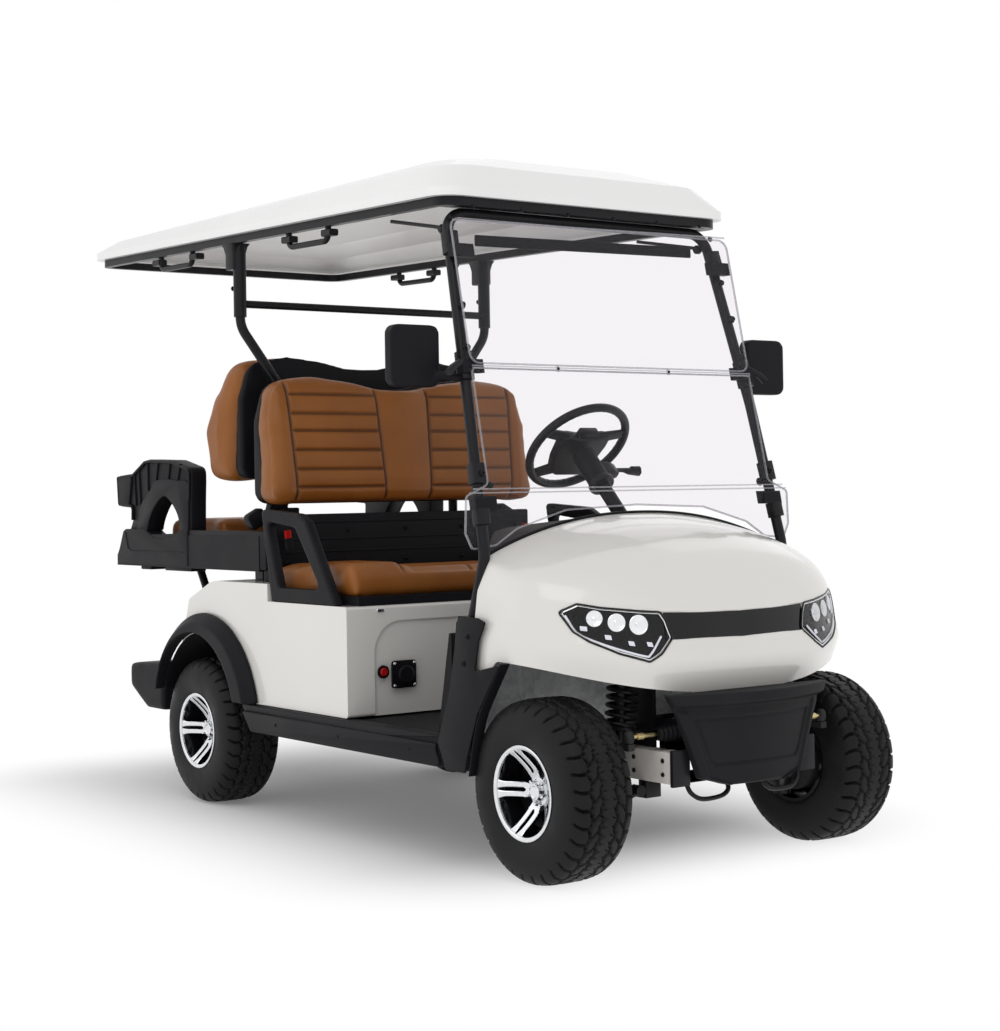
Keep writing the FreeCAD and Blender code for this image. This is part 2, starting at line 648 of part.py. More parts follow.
springRidges = 5
eyeReach = size.damperRadius + size.fitGap
shockTop = Vector(size.shockTopX, size.shockTopY, size.towerTop - size.plateThickness - eyeReach)
legStart = Vector(bushX, size.pivotFront + size.pivotLength / 2, size.bushHeight)
legLine = (ballPlace - legStart).normalize()
legSeat = legStart + (ballPlace - legStart) * size.shockSeatShare
offLeg = shockTop - legSeat
offLeg = (offLeg - legLine * offLeg.dot(legLine)).normalize()
shockFoot = legSeat + offLeg * (size.legRadius + eyeReach)
shockLine = shockTop - shockFoot
springLength = shockLine.Length * (1 - size.springShareLow) - size.coilEnd
springWire = Part.makePolygon(
    ridgedProfile(springLength, size.coilRadius, size.coilCore, springRidges) + [Vector(0, 0, 0)])
spring = Part.Face(springWire).revolve(Vector(0, 0, 0), Vector(0, 0, 1), 360)
spring.Placement = alongPlacement(shockFoot + shockLine * size.springShareLow, shockTop)
damper = tube([shockFoot, shockTop], size.damperRadius)
eyes = [Part.makeSphere(size.damperRadius, place) for place in (shockFoot, shockTop)]
shock = feature("Shock", spring.multiFuse([damper] + eyes).removeSplitter())
node(pair("Shocks", shock), "front_shocks")

# Rack housing with bellows ends, seated on the subframe's plate
housingBore = "rackRodRadius + shaftGap"
housingBody = rod("HousingBody", "x", ("(rackPlateFront + rackPlateRear) / 2", "rackHeight"),
                  "-rackHousingHalf", "rackHousingHalf", "rackHousingRadius")
pedestal = block("Pedestal", ("rackHousingHalf / 2", "rackHousingHalf * 3 / 4"),
                 ("rackPlateFront", "rackPlateRear"), ("hornTop", "rackHeight"))
bellows = turned("Bellows", [
    ("rackHousingHalf", "0"), ("rackHousingHalf", "bellowsRadius"),
    ("bellowsHalf", "bellowsEnd"), ("bellowsHalf", "0"),
])
bind(bellows, "Placement.Base.y", "(rackPlateFront + rackPlateRear) / 2")
bind(bellows, "Placement.Base.z", "rackHeight")
rackSolid = fuse("RackSolid", housingBody, pedestal, mirror(pedestal), bellows, mirror(bellows))
rackTunnel = rod("RackTunnel", "x", ("(rackPlateFront + rackPlateRear) / 2", "rackHeight"),
                 "-bellowsHalf - overrun", "bellowsHalf + overrun", housingBore)
node(cut("RackHousing", rackSolid, rackTunnel), "rack_housing")

# Steering rack: one rod with lock nuts, and eyes that ride just above the steering arms
rackRod = rod("RackRod", "x", ("(rackPlateFront + rackPlateRear) / 2", "rackHeight"),
              "-(kingpinHalf)", "kingpinHalf", "rackRodRadius")
rodEye = rod("RodEye", "z", ("kingpinHalf", "(rackPlateFront + rackPlateRear) / 2"),
             "uprightTop + fitGap", "rackHeight + rodEyeRadius", "rodEyeRadius")
lockNut = rod("LockNut", "x", ("(rackPlateFront + rackPlateRear) / 2", "rackHeight"),
              "lockNutInner", "lockNutOuter", "lockNutRadius")
node(fuse("Rack", rackRod, rodEye, lockNut, mirror(rodEye), mirror(lockNut)), "steering_rack")

# Knuckles: upright, brake drum, stub shaft and steering arm
upright = block("Upright", ("uprightInner", "uprightOuter"),
                ("-uprightDepth / 2", "uprightDepth / 2"), ("ballTop", "uprightTop"))
drum = rod("Drum", "x", ("0", "tyreRadius"), "drumInner", "drumOuter", "drumRadius")
carrier = rod("Carrier", "x", ("0", "tyreRadius"), "uprightInner", "drumOuter", "carrierRadius")
stub = rod("Stub", "x", ("0", "tyreRadius"), "uprightInner",
           "frontTrackHalf + shaftReach - fitGap", "shaftRadius")
steeringArm = block("SteeringArm",
                    ("kingpinHalf - armWidth / 2", "kingpinHalf + armWidth / 2"),
                    ("-armLength - armWidth / 2", "0"), ("uprightTop - armThickness", "uprightTop"))
knuckle = fuse("Knuckle", upright, carrier, drum, stub, steeringArm)
node(group("KnuckleLeft", knuckle), "knuckle_left")
node(group("KnuckleRight", mirror(knuckle)), "knuckle_right")

# Rear axle: tube, reduction casing, motor, drums and shafts
axleTube = rod("AxleTube", "x", ("wheelBase", "tyreRadius"), "-axleHalf", "axleHalf", "axleRadius")
casing = rod("Casing", "x", ("wheelBase", "tyreRadius"), "-casingRight", "casingLeft", "casingRadius")
motor = rod("Motor", "x", ("wheelBase", "tyreRadius"), "casingLeft", "motorEnd", "motorRadius")
rearDrum = rod("RearDrum", "x", ("wheelBase", "tyreRadius"), "axleHalf", "rearDrumOuter", "drumRadius")
rearShaft = rod("RearShaft", "x", ("wheelBase", "tyreRadius"), "axleHalf",
                "rearTrackHalf + shaftReach - fitGap", "shaftRadius")
node(fuse("RearAxle", axleTube, casing, motor, rearDrum, rearShaft, mirror(rearDrum),
          mirror(rearShaft)), "rear_axle")

# Leaf springs: flat over the axle, rising to the hangers
leafUnder = "railTop - outriggerHeight / 2 - leafThickness"
leaf = prism("Leaf", "x", [
    ("leafFront", leafUnder), ("wheelBase - leafSeatHalf", "tyreRadius + axleRadius"),
    ("wheelBase + leafSeatHalf", "tyreRadius + axleRadius"), ("leafRear", leafUnder),
    ("leafRear", leafUnder + " + leafThickness"),
    ("wheelBase + leafSeatHalf", "tyreRadius + axleRadius + leafThickness"),
    ("wheelBase - leafSeatHalf", "tyreRadius + axleRadius + leafThickness"),
    ("leafFront", leafUnder + " + leafThickness"),
], "leafInner", "leafOuter")
node(pair("Leaves", leaf), "leaf_springs")

# Battery pack: one plain block on the floor under the front bench
node(block("Battery", ("-batteryHalf", "batteryHalf"), ("batteryFront", "batteryRear"),
           ("batteryBottom", "batteryTop")), "battery_pack")

# Floor: a flat pan under the feet with a sloping toe board
floorTop = "railTop + floorThickness"
node(prism("Floor", "x", [
    ("bulkheadFront + plateThickness", "railTop"), ("batteryRear", "railTop"),
    ("batteryRear", floorTop), ("toeFoot", floorTop),
    ("toeTopFront + floorThickness", "toeTop"), ("toeTopFront", "toeTop"),
    ("toeTopFront", floorTop), ("bulkheadFront + plateThickness", floorTop),
], "-floorHalf", "floorHalf"), "floor_pan")

# Rocker panels along both sides below the doorway
rocker = prism("Rocker", "x", [
    ("rockerFrontFoot", "rockerBottom"), ("rockerRearFoot", "rockerBottom"),
    ("rockerRearTop", "rockerTop"), ("coverFootRear", "rockerTop"),
    ("coverFootRear", "(rockerTop + rockerBottom) / 2"),
], "rockerInner", "rockerOuter", [("rockerRound", (1,))])
node(pair("Rockers", rocker), "rocker_panels")

# Front struts: one hoop from foot to foot under the roof's front rail
railHeight = size.roofLip - size.fitGap - size.roofRail


def railUnder(y):
    # Height of the roof frame's underside, which rises to the rear
    return railHeight + (y - size.roofFront) * size.roofRise / (size.roofRear - size.roofFront)


hoopZ = railUnder(size.hoopY - size.strutRadius) - size.fitGap - size.strutRadius
hoopLeft = [
    Vector(size.strutFootX, size.strutFootY, size.strutFootZ),
    Vector(size.strutLowX, size.strutLowY, size.strutLowZ),
    Vector(size.strutMidX, size.strutMidY, size.strutMidZ),
    Vector(size.hoopX, size.hoopY, hoopZ),
]
hoopRight = [Vector(-point.x, point.y, point.z) for point in reversed(hoopLeft)]
hoopBends = [size.strutFootBend, size.strutBend, size.hoopBend]


def hoopTube(name, radius):
    shape = tube(hoopLeft + hoopRight, radius, hoopBends + hoopBends[::-1])
    return feature(name, shape)


node(hoopTube("Hoop", size.strutRadius), "front_struts")
strutClear = hoopTube("StrutClear", size.strutRadius + size.fitGap)

# Pillar covers over the feet of the front struts
cover = prism("Cover", "x", [
    ("coverFootFront", "rockerBottom + rockerRound"),
    ("rockerFrontFoot - fitGap", "rockerBottom"),
    ("coverFootRear - fitGap", "(rockerTop + rockerBottom) / 2"),
    ("coverFootRear - fitGap", "rockerTop"),
    ("coverNeckRear", "coverNeckHeight"), ("coverTopRear", "coverTop"),
    ("coverTopFront", "coverTop"), ("coverTopFront", "cowlBottom + cowlHeight / 5"),
], "coverInner", "coverOuter")
skirt = prism("Skirt", "x", [
    ("coverFootFront", "rockerBottom + rockerRound"), ("coverTopRear", "rockerBottom + rockerRound"),
    ("skirtFoot", "skirtFootHeight"), ("skirtHollow", "skirtHollowHeight"),
    ("skirtBow", "skirtBowHeight"), ("skirtNose", "skirtNoseHeight"),
    ("skirtLip", "skirtLipHeight"), ("skirtTopFront", "skirtTop"), ("coverTopRear", "coverTop"),
    ("coverFootFront", "coverNeckHeight"),
], "skirtInner", "coverOuter")
coverBored = cut("CoverBored", fuse("CoverSolid", cover, skirt), strutClear)
node(pair("Covers", coverBored), "pillar_covers")

# Galvanised bulkhead between the wheel arches and the footwell
bulkheadRear = "bulkheadFront + plateThickness"
bulkheadPlate = block("BulkheadPlate", ("-bulkheadHalf", "bulkheadHalf"),
                      ("bulkheadFront", bulkheadRear), ("bulkheadBottom", "bulkheadTop"))
bulkheadRib = block("BulkheadRib", ("ribPlace - ribHalf", "ribPlace + ribHalf"),
                    ("bulkheadFront - ribDepth", "bulkheadFront"), ("bulkheadBottom", "bulkheadTop"))
node(fuse("Bulkhead", bulkheadPlate, bulkheadRib, mirror(bulkheadRib)), "front_bulkhead")

# Cowl: bows that wrap the nose, carried from the chin over the hood to the rear lip.
# Each row: depth and height on the middle line, height at the sides, half width, as shares.
cowlShares = [
    (0.935, 0.000, 0.200, 0.995),
    (1.000, 0.170, 0.300, 1.000),
    (0.945, 0.315, 0.395, 1.000),
    (0.918, 0.463, 0.490, 0.990),
    (0.850, 0.605, 0.580, 0.980),
    (0.680, 0.775, 0.655, 0.965),
    (0.390, 0.915, 0.715, 0.950),
    (0.000, 1.000, 0.766, 0.935),
]
bowPower = 2.5
dropPower = 2.2
bowSteps = 20
rowSteps = 4


def smoothRows(rows, between):
    # More rows on a smooth curve through the given ones, which stops the surface from swinging
    ends = [[2 * a - b for a, b in zip(rows[0], rows[1])],
            [2 * a - b for a, b in zip(rows[-1], rows[-2])]]
    held = [ends[0]] + list(rows) + [ends[1]]
    dense = []
    for before, start, end, after in zip(held, held[1:], held[2:], held[3:]):
        for step in range(between):
            t = step / between
            dense.append([
                (2 * b + (c - a) * t + (2 * a - 5 * b + 4 * c - d) * t ** 2
                 + (3 * b - a - 3 * c + d) * t ** 3) / 2
                for a, b, c, d in zip(before, start, end, after)])
    dense.append(list(rows[-1]))
    return dense


def bowAngle(share):
    # Places along a bow draw together towards its ends, where it turns rearwards
    eased = 1 - (1 - abs(share)) ** (bowPower / 2)
    return math.copysign(eased * math.pi / 2, share)


def cowlPoint(row, angle):
    # A bow is a superellipse in plan whose height falls off towards its ends
    depth, height, sideHeight, width = row
    across = math.sin(angle)
    bulge = (1 - min(1, abs(across)) ** bowPower) ** (1 / bowPower)
    drop = (height - sideHeight) * abs(across) ** dropPower
    return Vector(
        size.cowlHalf * width * across,
        size.cowlRear - size.cowlDepth * depth * bulge,
        size.cowlBottom + size.cowlHeight * (height - drop))


def cowlGrid(inset):
    # The cowl's surface moved inwards, square to itself, by the inset
    angles = [bowAngle(2 * step / bowSteps - 1) for step in range(bowSteps + 1)]
    rows = [[cowlPoint(row, angle) for angle in angles] for row in smoothRows(cowlShares, rowSteps)]
    last = len(rows) - 1
    moved = []
    for upper, row in enumerate(rows):
        line = []
        near = min(max(upper, 1), last - 1)
        for step, point in enumerate(row):
            beside = min(max(step, 1), bowSteps - 1)
            along = rows[near + 1][beside] - rows[near - 1][beside]
            around = rows[near][beside + 1] - rows[near][beside - 1]
            normal = around.cross(along)
            if step in (0, bowSteps) or upper == last:
                normal.y = 0
            line.append(point + normal.normalize() * -inset)
        moved.append(line)
    return moved


def cowlLayer(name, outside, inside):
    return feature(name, sheetSolid(cowlGrid(outside), cowlGrid(inside)))


def lampOutline(lap, half):
    # Front view of the black light bar: two pointed lamps joined by a band
    left = [
        ("lampOuter + %s" % lap, "lampOuterTop + %s" % lap),
        ("lampOuter + %s" % lap, "lampOuterLow"),
        ("lampLowX", "lampLow - %s" % lap), ("lampTipInner", "bandBottom - %s" % lap),
    ]
    if half:
        return left + [("lampTipInner", "bandBottom"), ("lampInner", "bandTop")]
    right = [("-(%s)" % across, up) for across, up in reversed(left)]
    return left + right + [("-lampInner", "bandTop + %s" % lap), ("lampInner", "bandTop + %s" % lap)]


cowlShell = cowlLayer("CowlShell", 0, size.cowlWall)
lampHole = prism("LampHole", "y", lampOutline("0", False), "lampFront", "0")
strutNotch = block(
    "StrutNotch", ("strutLowX - strutRadius - notchGap", "cowlHalf + overrun"),
    ("strutLowY - strutRadius - notchGap", "cowlRear + overrun"), ("notchLow", "strutMidZ"))
cowl = cut("Cowl", cowlShell, lampHole, strutNotch, mirror(strutNotch))
cowl.Refine = False
node(cowl, "front_cowl")
bezelSheet = cowlLayer("BezelSheet", size.cowlWall + size.fitGap,
                       size.cowlWall + size.fitGap + size.bezelThickness)
bezelOutline = prism("BezelOutline", "y", lampOutline("bezelLap", False), "lampFront", "0")
node(common("Bezel", bezelSheet, bezelOutline), "light_bar")
lensSheet = cowlLayer("LensSheet", 0, size.cowlWall)
lensOutline = prism("LensOutline", "y", lampOutline("-fitGap", True), "lampFront", "0")
lens = common("Lens", lensSheet, lensOutline)
node(pair("Lenses", lens), "headlight_lenses")

# Front bumper: a tapered shield, bowed in plan, with a brow on top and a sunk panel
bumperBody = prism("BumperBody", "y", [
    ("-bumperTopHalf", "bumperTop"), ("-bumperFootHalf", "bumperFoot"),
    ("-bumperLowHalf", "bumperLow"), ("bumperLowHalf", "bumperLow"),
    ("bumperFootHalf", "bumperFoot"), ("bumperTopHalf", "bumperTop"),
], "bumperFront - overrun", "bumperRear", [("bumperRound", (0, 1, 4, 5))])
bumperSteps = 5


def bumperBowPoints(setBack):
    # The bow's front in plan: a parabola that falls back towards both ends
    points = []
    for step in range(-bumperSteps, bumperSteps + 1):
        share = step / bumperSteps
        points.append(("bumperTopHalf * %s" % share,
                       "bumperFront + %s + bumperBow * %s" % (setBack, share * share)))
    return points


def bumperBand(name, setBack, front, low, high):
    # Everything behind the bow, or in front of it, between two heights
    edge = "bumperFront - 2 * overrun" if front else "bumperRear"
    closing = [("bumperTopHalf", edge), ("-bumperTopHalf", edge)]
    return prism(name, "z", bumperBowPoints(setBack) + closing, low, high)


bumperBrow = bumperBand("BumperBrow", "0", False, "bumperTop - bumperBrow", "bumperTop")
bumperFace = bumperBand("BumperFace", "bumperBrowDepth", False, "bumperLow", "bumperTop - bumperBrow")
bumperBowed = fuse("BumperBowed", bumperBrow, bumperFace)
insetOutline = prism("InsetOutline", "y", [
    ("-insetTopHalf", "insetTop"), ("-insetFootHalf", "insetFoot"),
    ("insetFootHalf", "insetFoot"), ("insetTopHalf", "insetTop"),
], "bumperFront - overrun", "bumperRear")
insetFront = bumperBand("InsetFront", "bumperBrowDepth + insetDepth", True, "bumperLow", "bumperTop")
bumperInset = common("BumperInset", insetOutline, insetFront)
node(cut("Bumper", common("BumperShield", bumperBody, bumperBowed), bumperInset), "front_bumper")

# Steering column and wheel stand on one slanted line through the dashboard
columnDirection = Vector(0, size.columnRun, size.columnRise).normalize()
wheelCentre = Vector(size.wheelX, size.wheelY, size.wheelZ)
columnTop = wheelCentre - columnDirection * (size.padThickness / 2 + size.shroudGap)
columnFoot = columnTop - columnDirection * size.columnLength
columnTube = Part.makeCylinder(size.columnRadius, size.columnLength, columnFoot, columnDirection)
shroud = Part.makeCylinder(
    size.shroudRadius, size.shroudLength, columnTop - columnDirection * size.shroudLength,
    columnDirection)
stalkPlace = columnTop - columnDirection * (size.shroudLength / 2)
stalk = Part.makeCylinder(size.stalkRadius, size.stalkLength, stalkPlace, Vector(1, 0, 0))
knob = Part.makeCylinder(
    size.knobRadius, size.knobLength, stalkPlace + Vector(size.stalkLength, 0, 0), Vector(1, 0, 0))
columnShape = columnTube.multiFuse([shroud, stalk, knob]).removeSplitter()
node(feature("Column", columnShape), "steering_column")

# Dashboard: a deep moulding with open shelves on both sides of the column
dashBody = prism("DashBody", "x", [
    ("cowlRear + fitGap", "cowlBottom + cowlHeight"), ("cowlRear + fitGap", "dashFoot"),
    ("dashRear", "dashFoot"), ("dashRear", "cowlBottom + cowlHeight - rearDrop"),
], "-dashHalf", "dashHalf")
dashPlan = prism("DashPlan", "z", [
    ("-dashHalf", "cowlRear"), ("dashHalf", "cowlRear"), ("dashHalf", "dashEndRear"),
    ("dashMiddleHalf", "dashRear"), ("-dashMiddleHalf", "dashRear"), ("-dashHalf", "dashEndRear"),
], "dashFoot - overrun", "cowlBottom + cowlHeight + overrun")
lipSide, lipWidth = cowlShares[-1][2:]
archSteps = 6
lipArch = []
for step in range(-archSteps, archSteps + 1):
    share = step / archSteps
    fall = "cowlHeight * %s * (dashHalf * %s / (cowlHalf * %s)) ^ %s" % (
        1 - lipSide, abs(share), lipWidth, dropPower)
    lipArch.append(("dashHalf * %s" % share, "cowlBottom + cowlHeight - lipDrop - %s" % fall))
dashArch = prism("DashArch", "y", [("dashHalf", "dashFoot"), ("-dashHalf", "dashFoot")] + lipArch,
                 "cowlRear", "dashRear + overrun")
shelf = block("Shelf", ("-shelfOuter", "-shelfInner"),
              ("dashRear - shelfDepth", "dashRear + overrun"), ("shelfFloor", "shelfRoof"))
columnHole = feature("ColumnHole", Part.makeCylinder(
    size.columnRadius + size.fitGap, size.columnLength + size.overrun,
    columnFoot - columnDirection * size.fitGap, columnDirection))
dashMoulding = common("DashMoulding", common("DashTapered", dashBody, dashPlan), dashArch)
node(cut("Dash", dashMoulding, shelf, columnHole), "dashboard")

# Steering wheel: grip ring, four flat spokes and a round pad on a shaft
grip = Part.makeTorus(size.steeringRadius, size.gripRadius)
steerPad = Part.makeCylinder(
    size.padRadius, size.padThickness, Vector(0, 0, -size.padThickness / 2))
steerShaft = Part.makeCylinder(
    size.columnRadius / 2, size.shroudGap - size.fitGap,
    Vector(0, 0, -size.padThickness / 2 - size.shroudGap + size.fitGap))
steerParts = [steerPad, steerShaft]
spokeTurns = (20, 160, 215, 325)
for angle in spokeTurns:
    spoke = Part.makeBox(
        size.steeringRadius, size.steerSpokeWidth, size.spokeDepth,
        Vector(0, -size.steerSpokeWidth / 2, -size.spokeDepth / 2))
    spoke.rotate(Vector(0, 0, 0), Vector(0, 0, 1), angle)
    steerParts.append(spoke)
steering = grip.multiFuse(steerParts).removeSplitter()
steering.Placement = Placement(
    wheelCentre, Rotation(Vector(1, 0, 0), Vector(), columnDirection, "ZXY"))
node(feature("SteeringWheel", steering), "steering_wheel")

# Pedals on stems from the toe board
toeSlope = "(toeFoot - toeTopFront - floorThickness) / (toeTop - railTop - floorThickness)"


def toeFace(height):
    # How far rearwards the toe board's face stands at one height
    return "toeFoot + fitGap - %s * (%s - railTop - floorThickness)" % (toeSlope, height)


pedalParts = []
pedalMiddleHeight = "(pedalLow + pedalHeight / 2)"
pedalTop = "(pedalLow + pedalHeight)"
for place in ("pedalOuter", "pedalMiddle"):
    pad = block("Pad" + place, (place + " - pedalWidth / 2", place + " + pedalWidth / 2"),
                ("pedalFace - pedalThickness", "pedalFace"), ("pedalLow", pedalTop))
    stem = prism("Stem" + place, "x", [
        (toeFace(pedalMiddleHeight), pedalMiddleHeight), (toeFace(pedalTop), pedalTop),
        ("pedalFace - pedalThickness", pedalTop), ("pedalFace - pedalThickness", pedalMiddleHeight),
    ], place + " - pedalStem / 2", place + " + pedalStem / 2")
    pedalParts.append(fuse("Pedal" + place, pad, stem))
node(group("Pedals", *pedalParts), "pedals")

# Rear body: a moulded tub with a seat ledge, wheel humps and a rounded tail
bodyOutline = [
    ("bodyFront", "bodyFloor"), ("bodyFront", "bodySeat"), ("humpFront", "bodySeat"),
    ("humpFront", "humpTop"), ("humpRear", "humpTop"), ("shoulderRear", "shoulderDrop"),
    ("bodyRear", "tailHeight"), ("tailFoot", "bodyFloor"),
]
bodyOuter = prism("BodyOuter", "x", bodyOutline, "-bodyHalf", "bodyHalf",
                  [("shoulderRear - humpRear", (4,)), ("bodyRound", (0, 1))])
bodyHollow = prism("BodyHollow", "x", [
    ("bodyFront + 2 * bodyWall + panelInset", "bodyFloor - overrun"),
    ("bodyFront + 2 * bodyWall + panelInset", "bodySeat - bodyWall"),
    ("cushionRear + wellGap + bodyWall", "bodySeat - bodyWall"),
    ("cushionRear + wellGap + bodyWall", "humpTop - bodyWall"),
    ("humpRear - bodyWall", "humpTop - bodyWall"),
    ("shoulderRear - 2 * bodyWall", "shoulderDrop - bodyWall"),
    ("bodyRear - 2 * bodyWall", "tailHeight"), ("tailFoot - 2 * bodyWall", "bodyFloor - overrun"),
], "-bodyHalf + bodyWall", "bodyHalf - bodyWall")
archHole = rod("ArchHole", "x", ("archCentreY", "archCentreZ"), "bodyHalf - archDepth",
               "bodyHalf + overrun", "archRadius")
panelSink = prism("PanelSink", "y", [
    ("-panelLeft", "bodyFloor - overrun"), ("-panelLeft", "panelTop"),
    ("panelRight", "panelTop"), ("panelRight", "bodyFloor - overrun"),
], "bodyFront - overrun", "bodyFront + panelInset", [("panelRound", (1, 2))])
socketHole = rod("SocketHole", "y", ("portX", "portZ"), "bodyFront - overrun",
                 "bodyFront + panelInset + 2 * bodyWall + overrun", "socketRadius + socketWall + fitGap")
seatWell = block("SeatWell", ("-cushionHalf - wellGap", "cushionHalf + wellGap"),
                 ("bodyFront + overrun", "cushionRear + wellGap"), ("bodySeat", "humpTop + overrun"))
batteryBay = block("BatteryBay", ("-bayHalf", "bayHalf"), ("bayFront", "bayRear"),
                   ("bodySeat - overrun", "bodySeat + overrun"))
columnSlot = block("ColumnSlot", (railInner + " - fitGap", railOuter + " + fitGap"),
                   ("columnFront - fitGap", "columnFront + crossWidth + fitGap"),
                   ("bodySeat", "humpTop + overrun"))
node(cut("RearBody", bodyOuter, bodyHollow, archHole, mirror(archHole), panelSink, socketHole,
         seatWell, batteryBay, columnSlot, mirror(columnSlot)), "rear_body")

# Fender flares: eccentric bands around the rear arches
flareDisc = rod("FlareDisc", "x", ("flareCentreY", "flareCentreZ"), "bodyHalf + fitGap",
                "bodyHalf + flareReach", "flareRadius")
flareRim = doc.addObject("Part::Chamfer", "FlareRim")
flareRim.Base = flareDisc
doc.recompute()
outerCircle = max(
    (number for number, edge in enumerate(flareDisc.Shape.Edges, 1)
     if isinstance(edge.Curve, Part.Circle)),
    key=lambda number: flareDisc.Shape.Edges[number - 1].Curve.Center.x)
flareRim.Edges = [(outerCircle, size.flareRound, size.flareRound)]
flareHole = rod("FlareHole", "x", ("archCentreY", "archCentreZ"), "bodyHalf - overrun",
                "bodyHalf + flareReach + overrun", "archRadius")
flareBelow = block("FlareBelow", ("bodyHalf - overrun", "bodyHalf + flareReach + overrun"),
                   ("flareCentreY - flareRadius - overrun", "flareCentreY + flareRadius + overrun"),
                   ("flareCentreZ - flareRadius - overrun", "flareFoot"))
node(pair("Flares", cut("Flare", flareRim, flareHole, flareBelow)), "fender_flares")

# Wheel liners: half drums inside the rear arches, closed towards the middle
linerDrum = rod("LinerDrum", "x", ("archCentreY", "archCentreZ"), "bodyHalf - archDepth",
                "bodyHalf", "archRadius - fitGap")
linerRoom = rod("LinerRoom", "x", ("archCentreY", "archCentreZ"), "bodyHalf - archDepth + linerWall",
                "bodyHalf + overrun", "archRadius - fitGap - linerWall")
linerBelow = block("LinerBelow", ("bodyHalf - archDepth - overrun", "bodyHalf + overrun"),
                   ("archCentreY - archRadius - overrun", "archCentreY + archRadius + overrun"),
                   ("archCentreZ - archRadius - overrun", "linerFoot"))
node(pair("Liners", cut("Liner", linerDrum, linerRoom, linerBelow)), "wheel_liners")

# Charge port on the seat front: a flanged socket with a round mouth
panelFace = "bodyFront + panelInset"
portPlate = block("PortPlate", ("portX - portWidth / 2", "portX + portWidth / 2"),
                  (panelFace + " - portDepth", panelFace),
                  ("portZ - portHeight / 2", "portZ + portHeight / 2"))
portBarrel = rod("PortBarrel", "y", ("portX", "portZ"), panelFace + " - portDepth",
                 panelFace + " + socketDepth", "socketRadius + socketWall")
portMouth = rod("PortMouth", "y", ("portX", "portZ"), panelFace + " - portDepth - overrun",
                panelFace + " + socketDepth - socketWall", "socketRadius")
node(cut("ChargePort", fuse("PortSolid", portPlate, portBarrel), portMouth), "charge_port")

# Hip restraints: plates with a slanted window beside the front bench
hipPlate = prism("HipPlate", "x", [
    ("hipFootFront", "hipFoot"), ("hipFootRear", "hipFoot"), ("hipTopRear", "hipTop"),
    ("hipTopFront", "hipTop - hipRound"), ("hipNose", "hipNoseHeight"),
], "hipInner", "hipOuter", [("hipRound", (2, 3))])
hipWindow = prism("HipWindow", "x", [
    ("hipWindowFront", "hipWindowFoot"), ("hipWindowRear", "hipWindowFoot"),
    ("hipWindowTopRear", "hipWindowTop"), ("hipWindowTopFront", "hipWindowTopLow"),
], "hipInner - overrun", "hipOuter + overrun", [("hipRound", (0, 1, 2, 3))])
node(pair("Hips", cut("Hip", hipPlate, hipWindow)), "hip_restraints")

# Front bench: hinged board and cushion, fixed back and its moulded shell
node(block("SeatBoard", ("-cushionHalf", "cushionHalf"), ("cushionFront", "cushionRear"),
           ("bodySeat + fitGap", "baseTop")), "front_seat_board")
node(prism("Cushion", "x", [
    ("cushionFront", "baseTop"), ("cushionRear", "baseTop"), ("cushionRear", "cushionBack"),
    ("cushionCrown", "cushionTop"), ("cushionFront", "cushionNose"),
], "-cushionHalf", "cushionHalf", [("cushionRound", (2, 3, 4))]), "front_seat_cushion")


# Half of a seat back's top from its side to the dip in the middle, as shares of its size
humpShares = [(1.0, 0.64), (0.93, 0.94), (0.62, 1.0), (0.34, 0.965), (0.15, 0.918), (0, 0.91)]


def backOutline(half, foot, top):
    # Front view of a seat back: square feet and two humps with a dip between them
    side = [("%s * %s" % (half, across), "%s + (%s - %s) * %s" % (foot, top, foot, up))
            for across, up in humpShares]
    other = [("-(%s)" % across, up) for across, up in reversed(side[:-1])]
    return [("-" + half, foot), (half, foot)] + side + other


shoulders = (3, len(humpShares) * 2 - 1)
backRounds = [("backRound", (0, 1)), ("shoulderRound", shoulders)]


backWedge = prism("BackWedge", "x", [
    ("backFootFront", "backFoot"), ("backFootRear", "backFoot"),
    ("backTopRear", "backTop"), ("backTopFront", "backTop"),
], "-frontBackHalf", "frontBackHalf", [("backEdge", (0, 3))])
backFrame = prism("BackFrame", "y", backOutline("frontBackHalf", "backFoot", "backTop"),
                  "backFootFront - overrun", "frontShellRear + overrun", backRounds)
node(common("FrontBack", backWedge, backFrame), "front_seat_back")
frontShellWedge = prism("FrontShellWedge", "x", [
    ("backFootRear", "backFoot"), ("frontShellRear", "backFoot"),
    ("frontShellRear", "backTop"), ("backTopRear", "backTop"),
], "-frontBackHalf", "frontBackHalf")
frontShellFrame = prism("FrontShellFrame", "y",
                        backOutline("frontBackHalf", "backFoot", "backTop"),
                        "backFootFront - overrun", "frontShellRear + overrun", backRounds)
frontShell = common("FrontShell", frontShellWedge, frontShellFrame)

# Rear bench: back facing rearwards, flip panel and cushion
rearShellWedge = prism("RearShellWedge", "x", [
    ("rearShellFront", "rearBackFoot"), ("rearShellFoot", "rearBackFoot"),
    ("rearShellTop", "rearBackTop"), ("rearShellFront", "rearBackTop"),
], "-rearBackHalf", "rearBackHalf")
rearFrames = [
    prism("RearFrame" + part, "y", backOutline("rearBackHalf", "rearBackFoot", "rearBackTop"),
          "rearShellFront - overrun", "rearBackMidRear + overrun", backRounds)
    for part in ("Shell", "Pad")
]
rearShell = common("RearShell", rearShellWedge, rearFrames[0])
node(group("BackShells", frontShell, rearShell), "seat_back_shells")
rearBackWedge = prism("RearBackWedge", "x", [
    ("rearShellFoot", "rearBackFoot"), ("rearBackFootRear", "rearBackFoot"),
    ("rearBackMidRear", "rearBackMid"), ("rearBackTopRear", "rearBackTop"),
    ("rearShellTop", "rearBackTop"),
], "-rearBackHalf", "rearBackHalf", [("backEdge", (1, 3))])
node(common("RearBack", rearBackWedge, rearFrames[1]), "rear_seat_back")
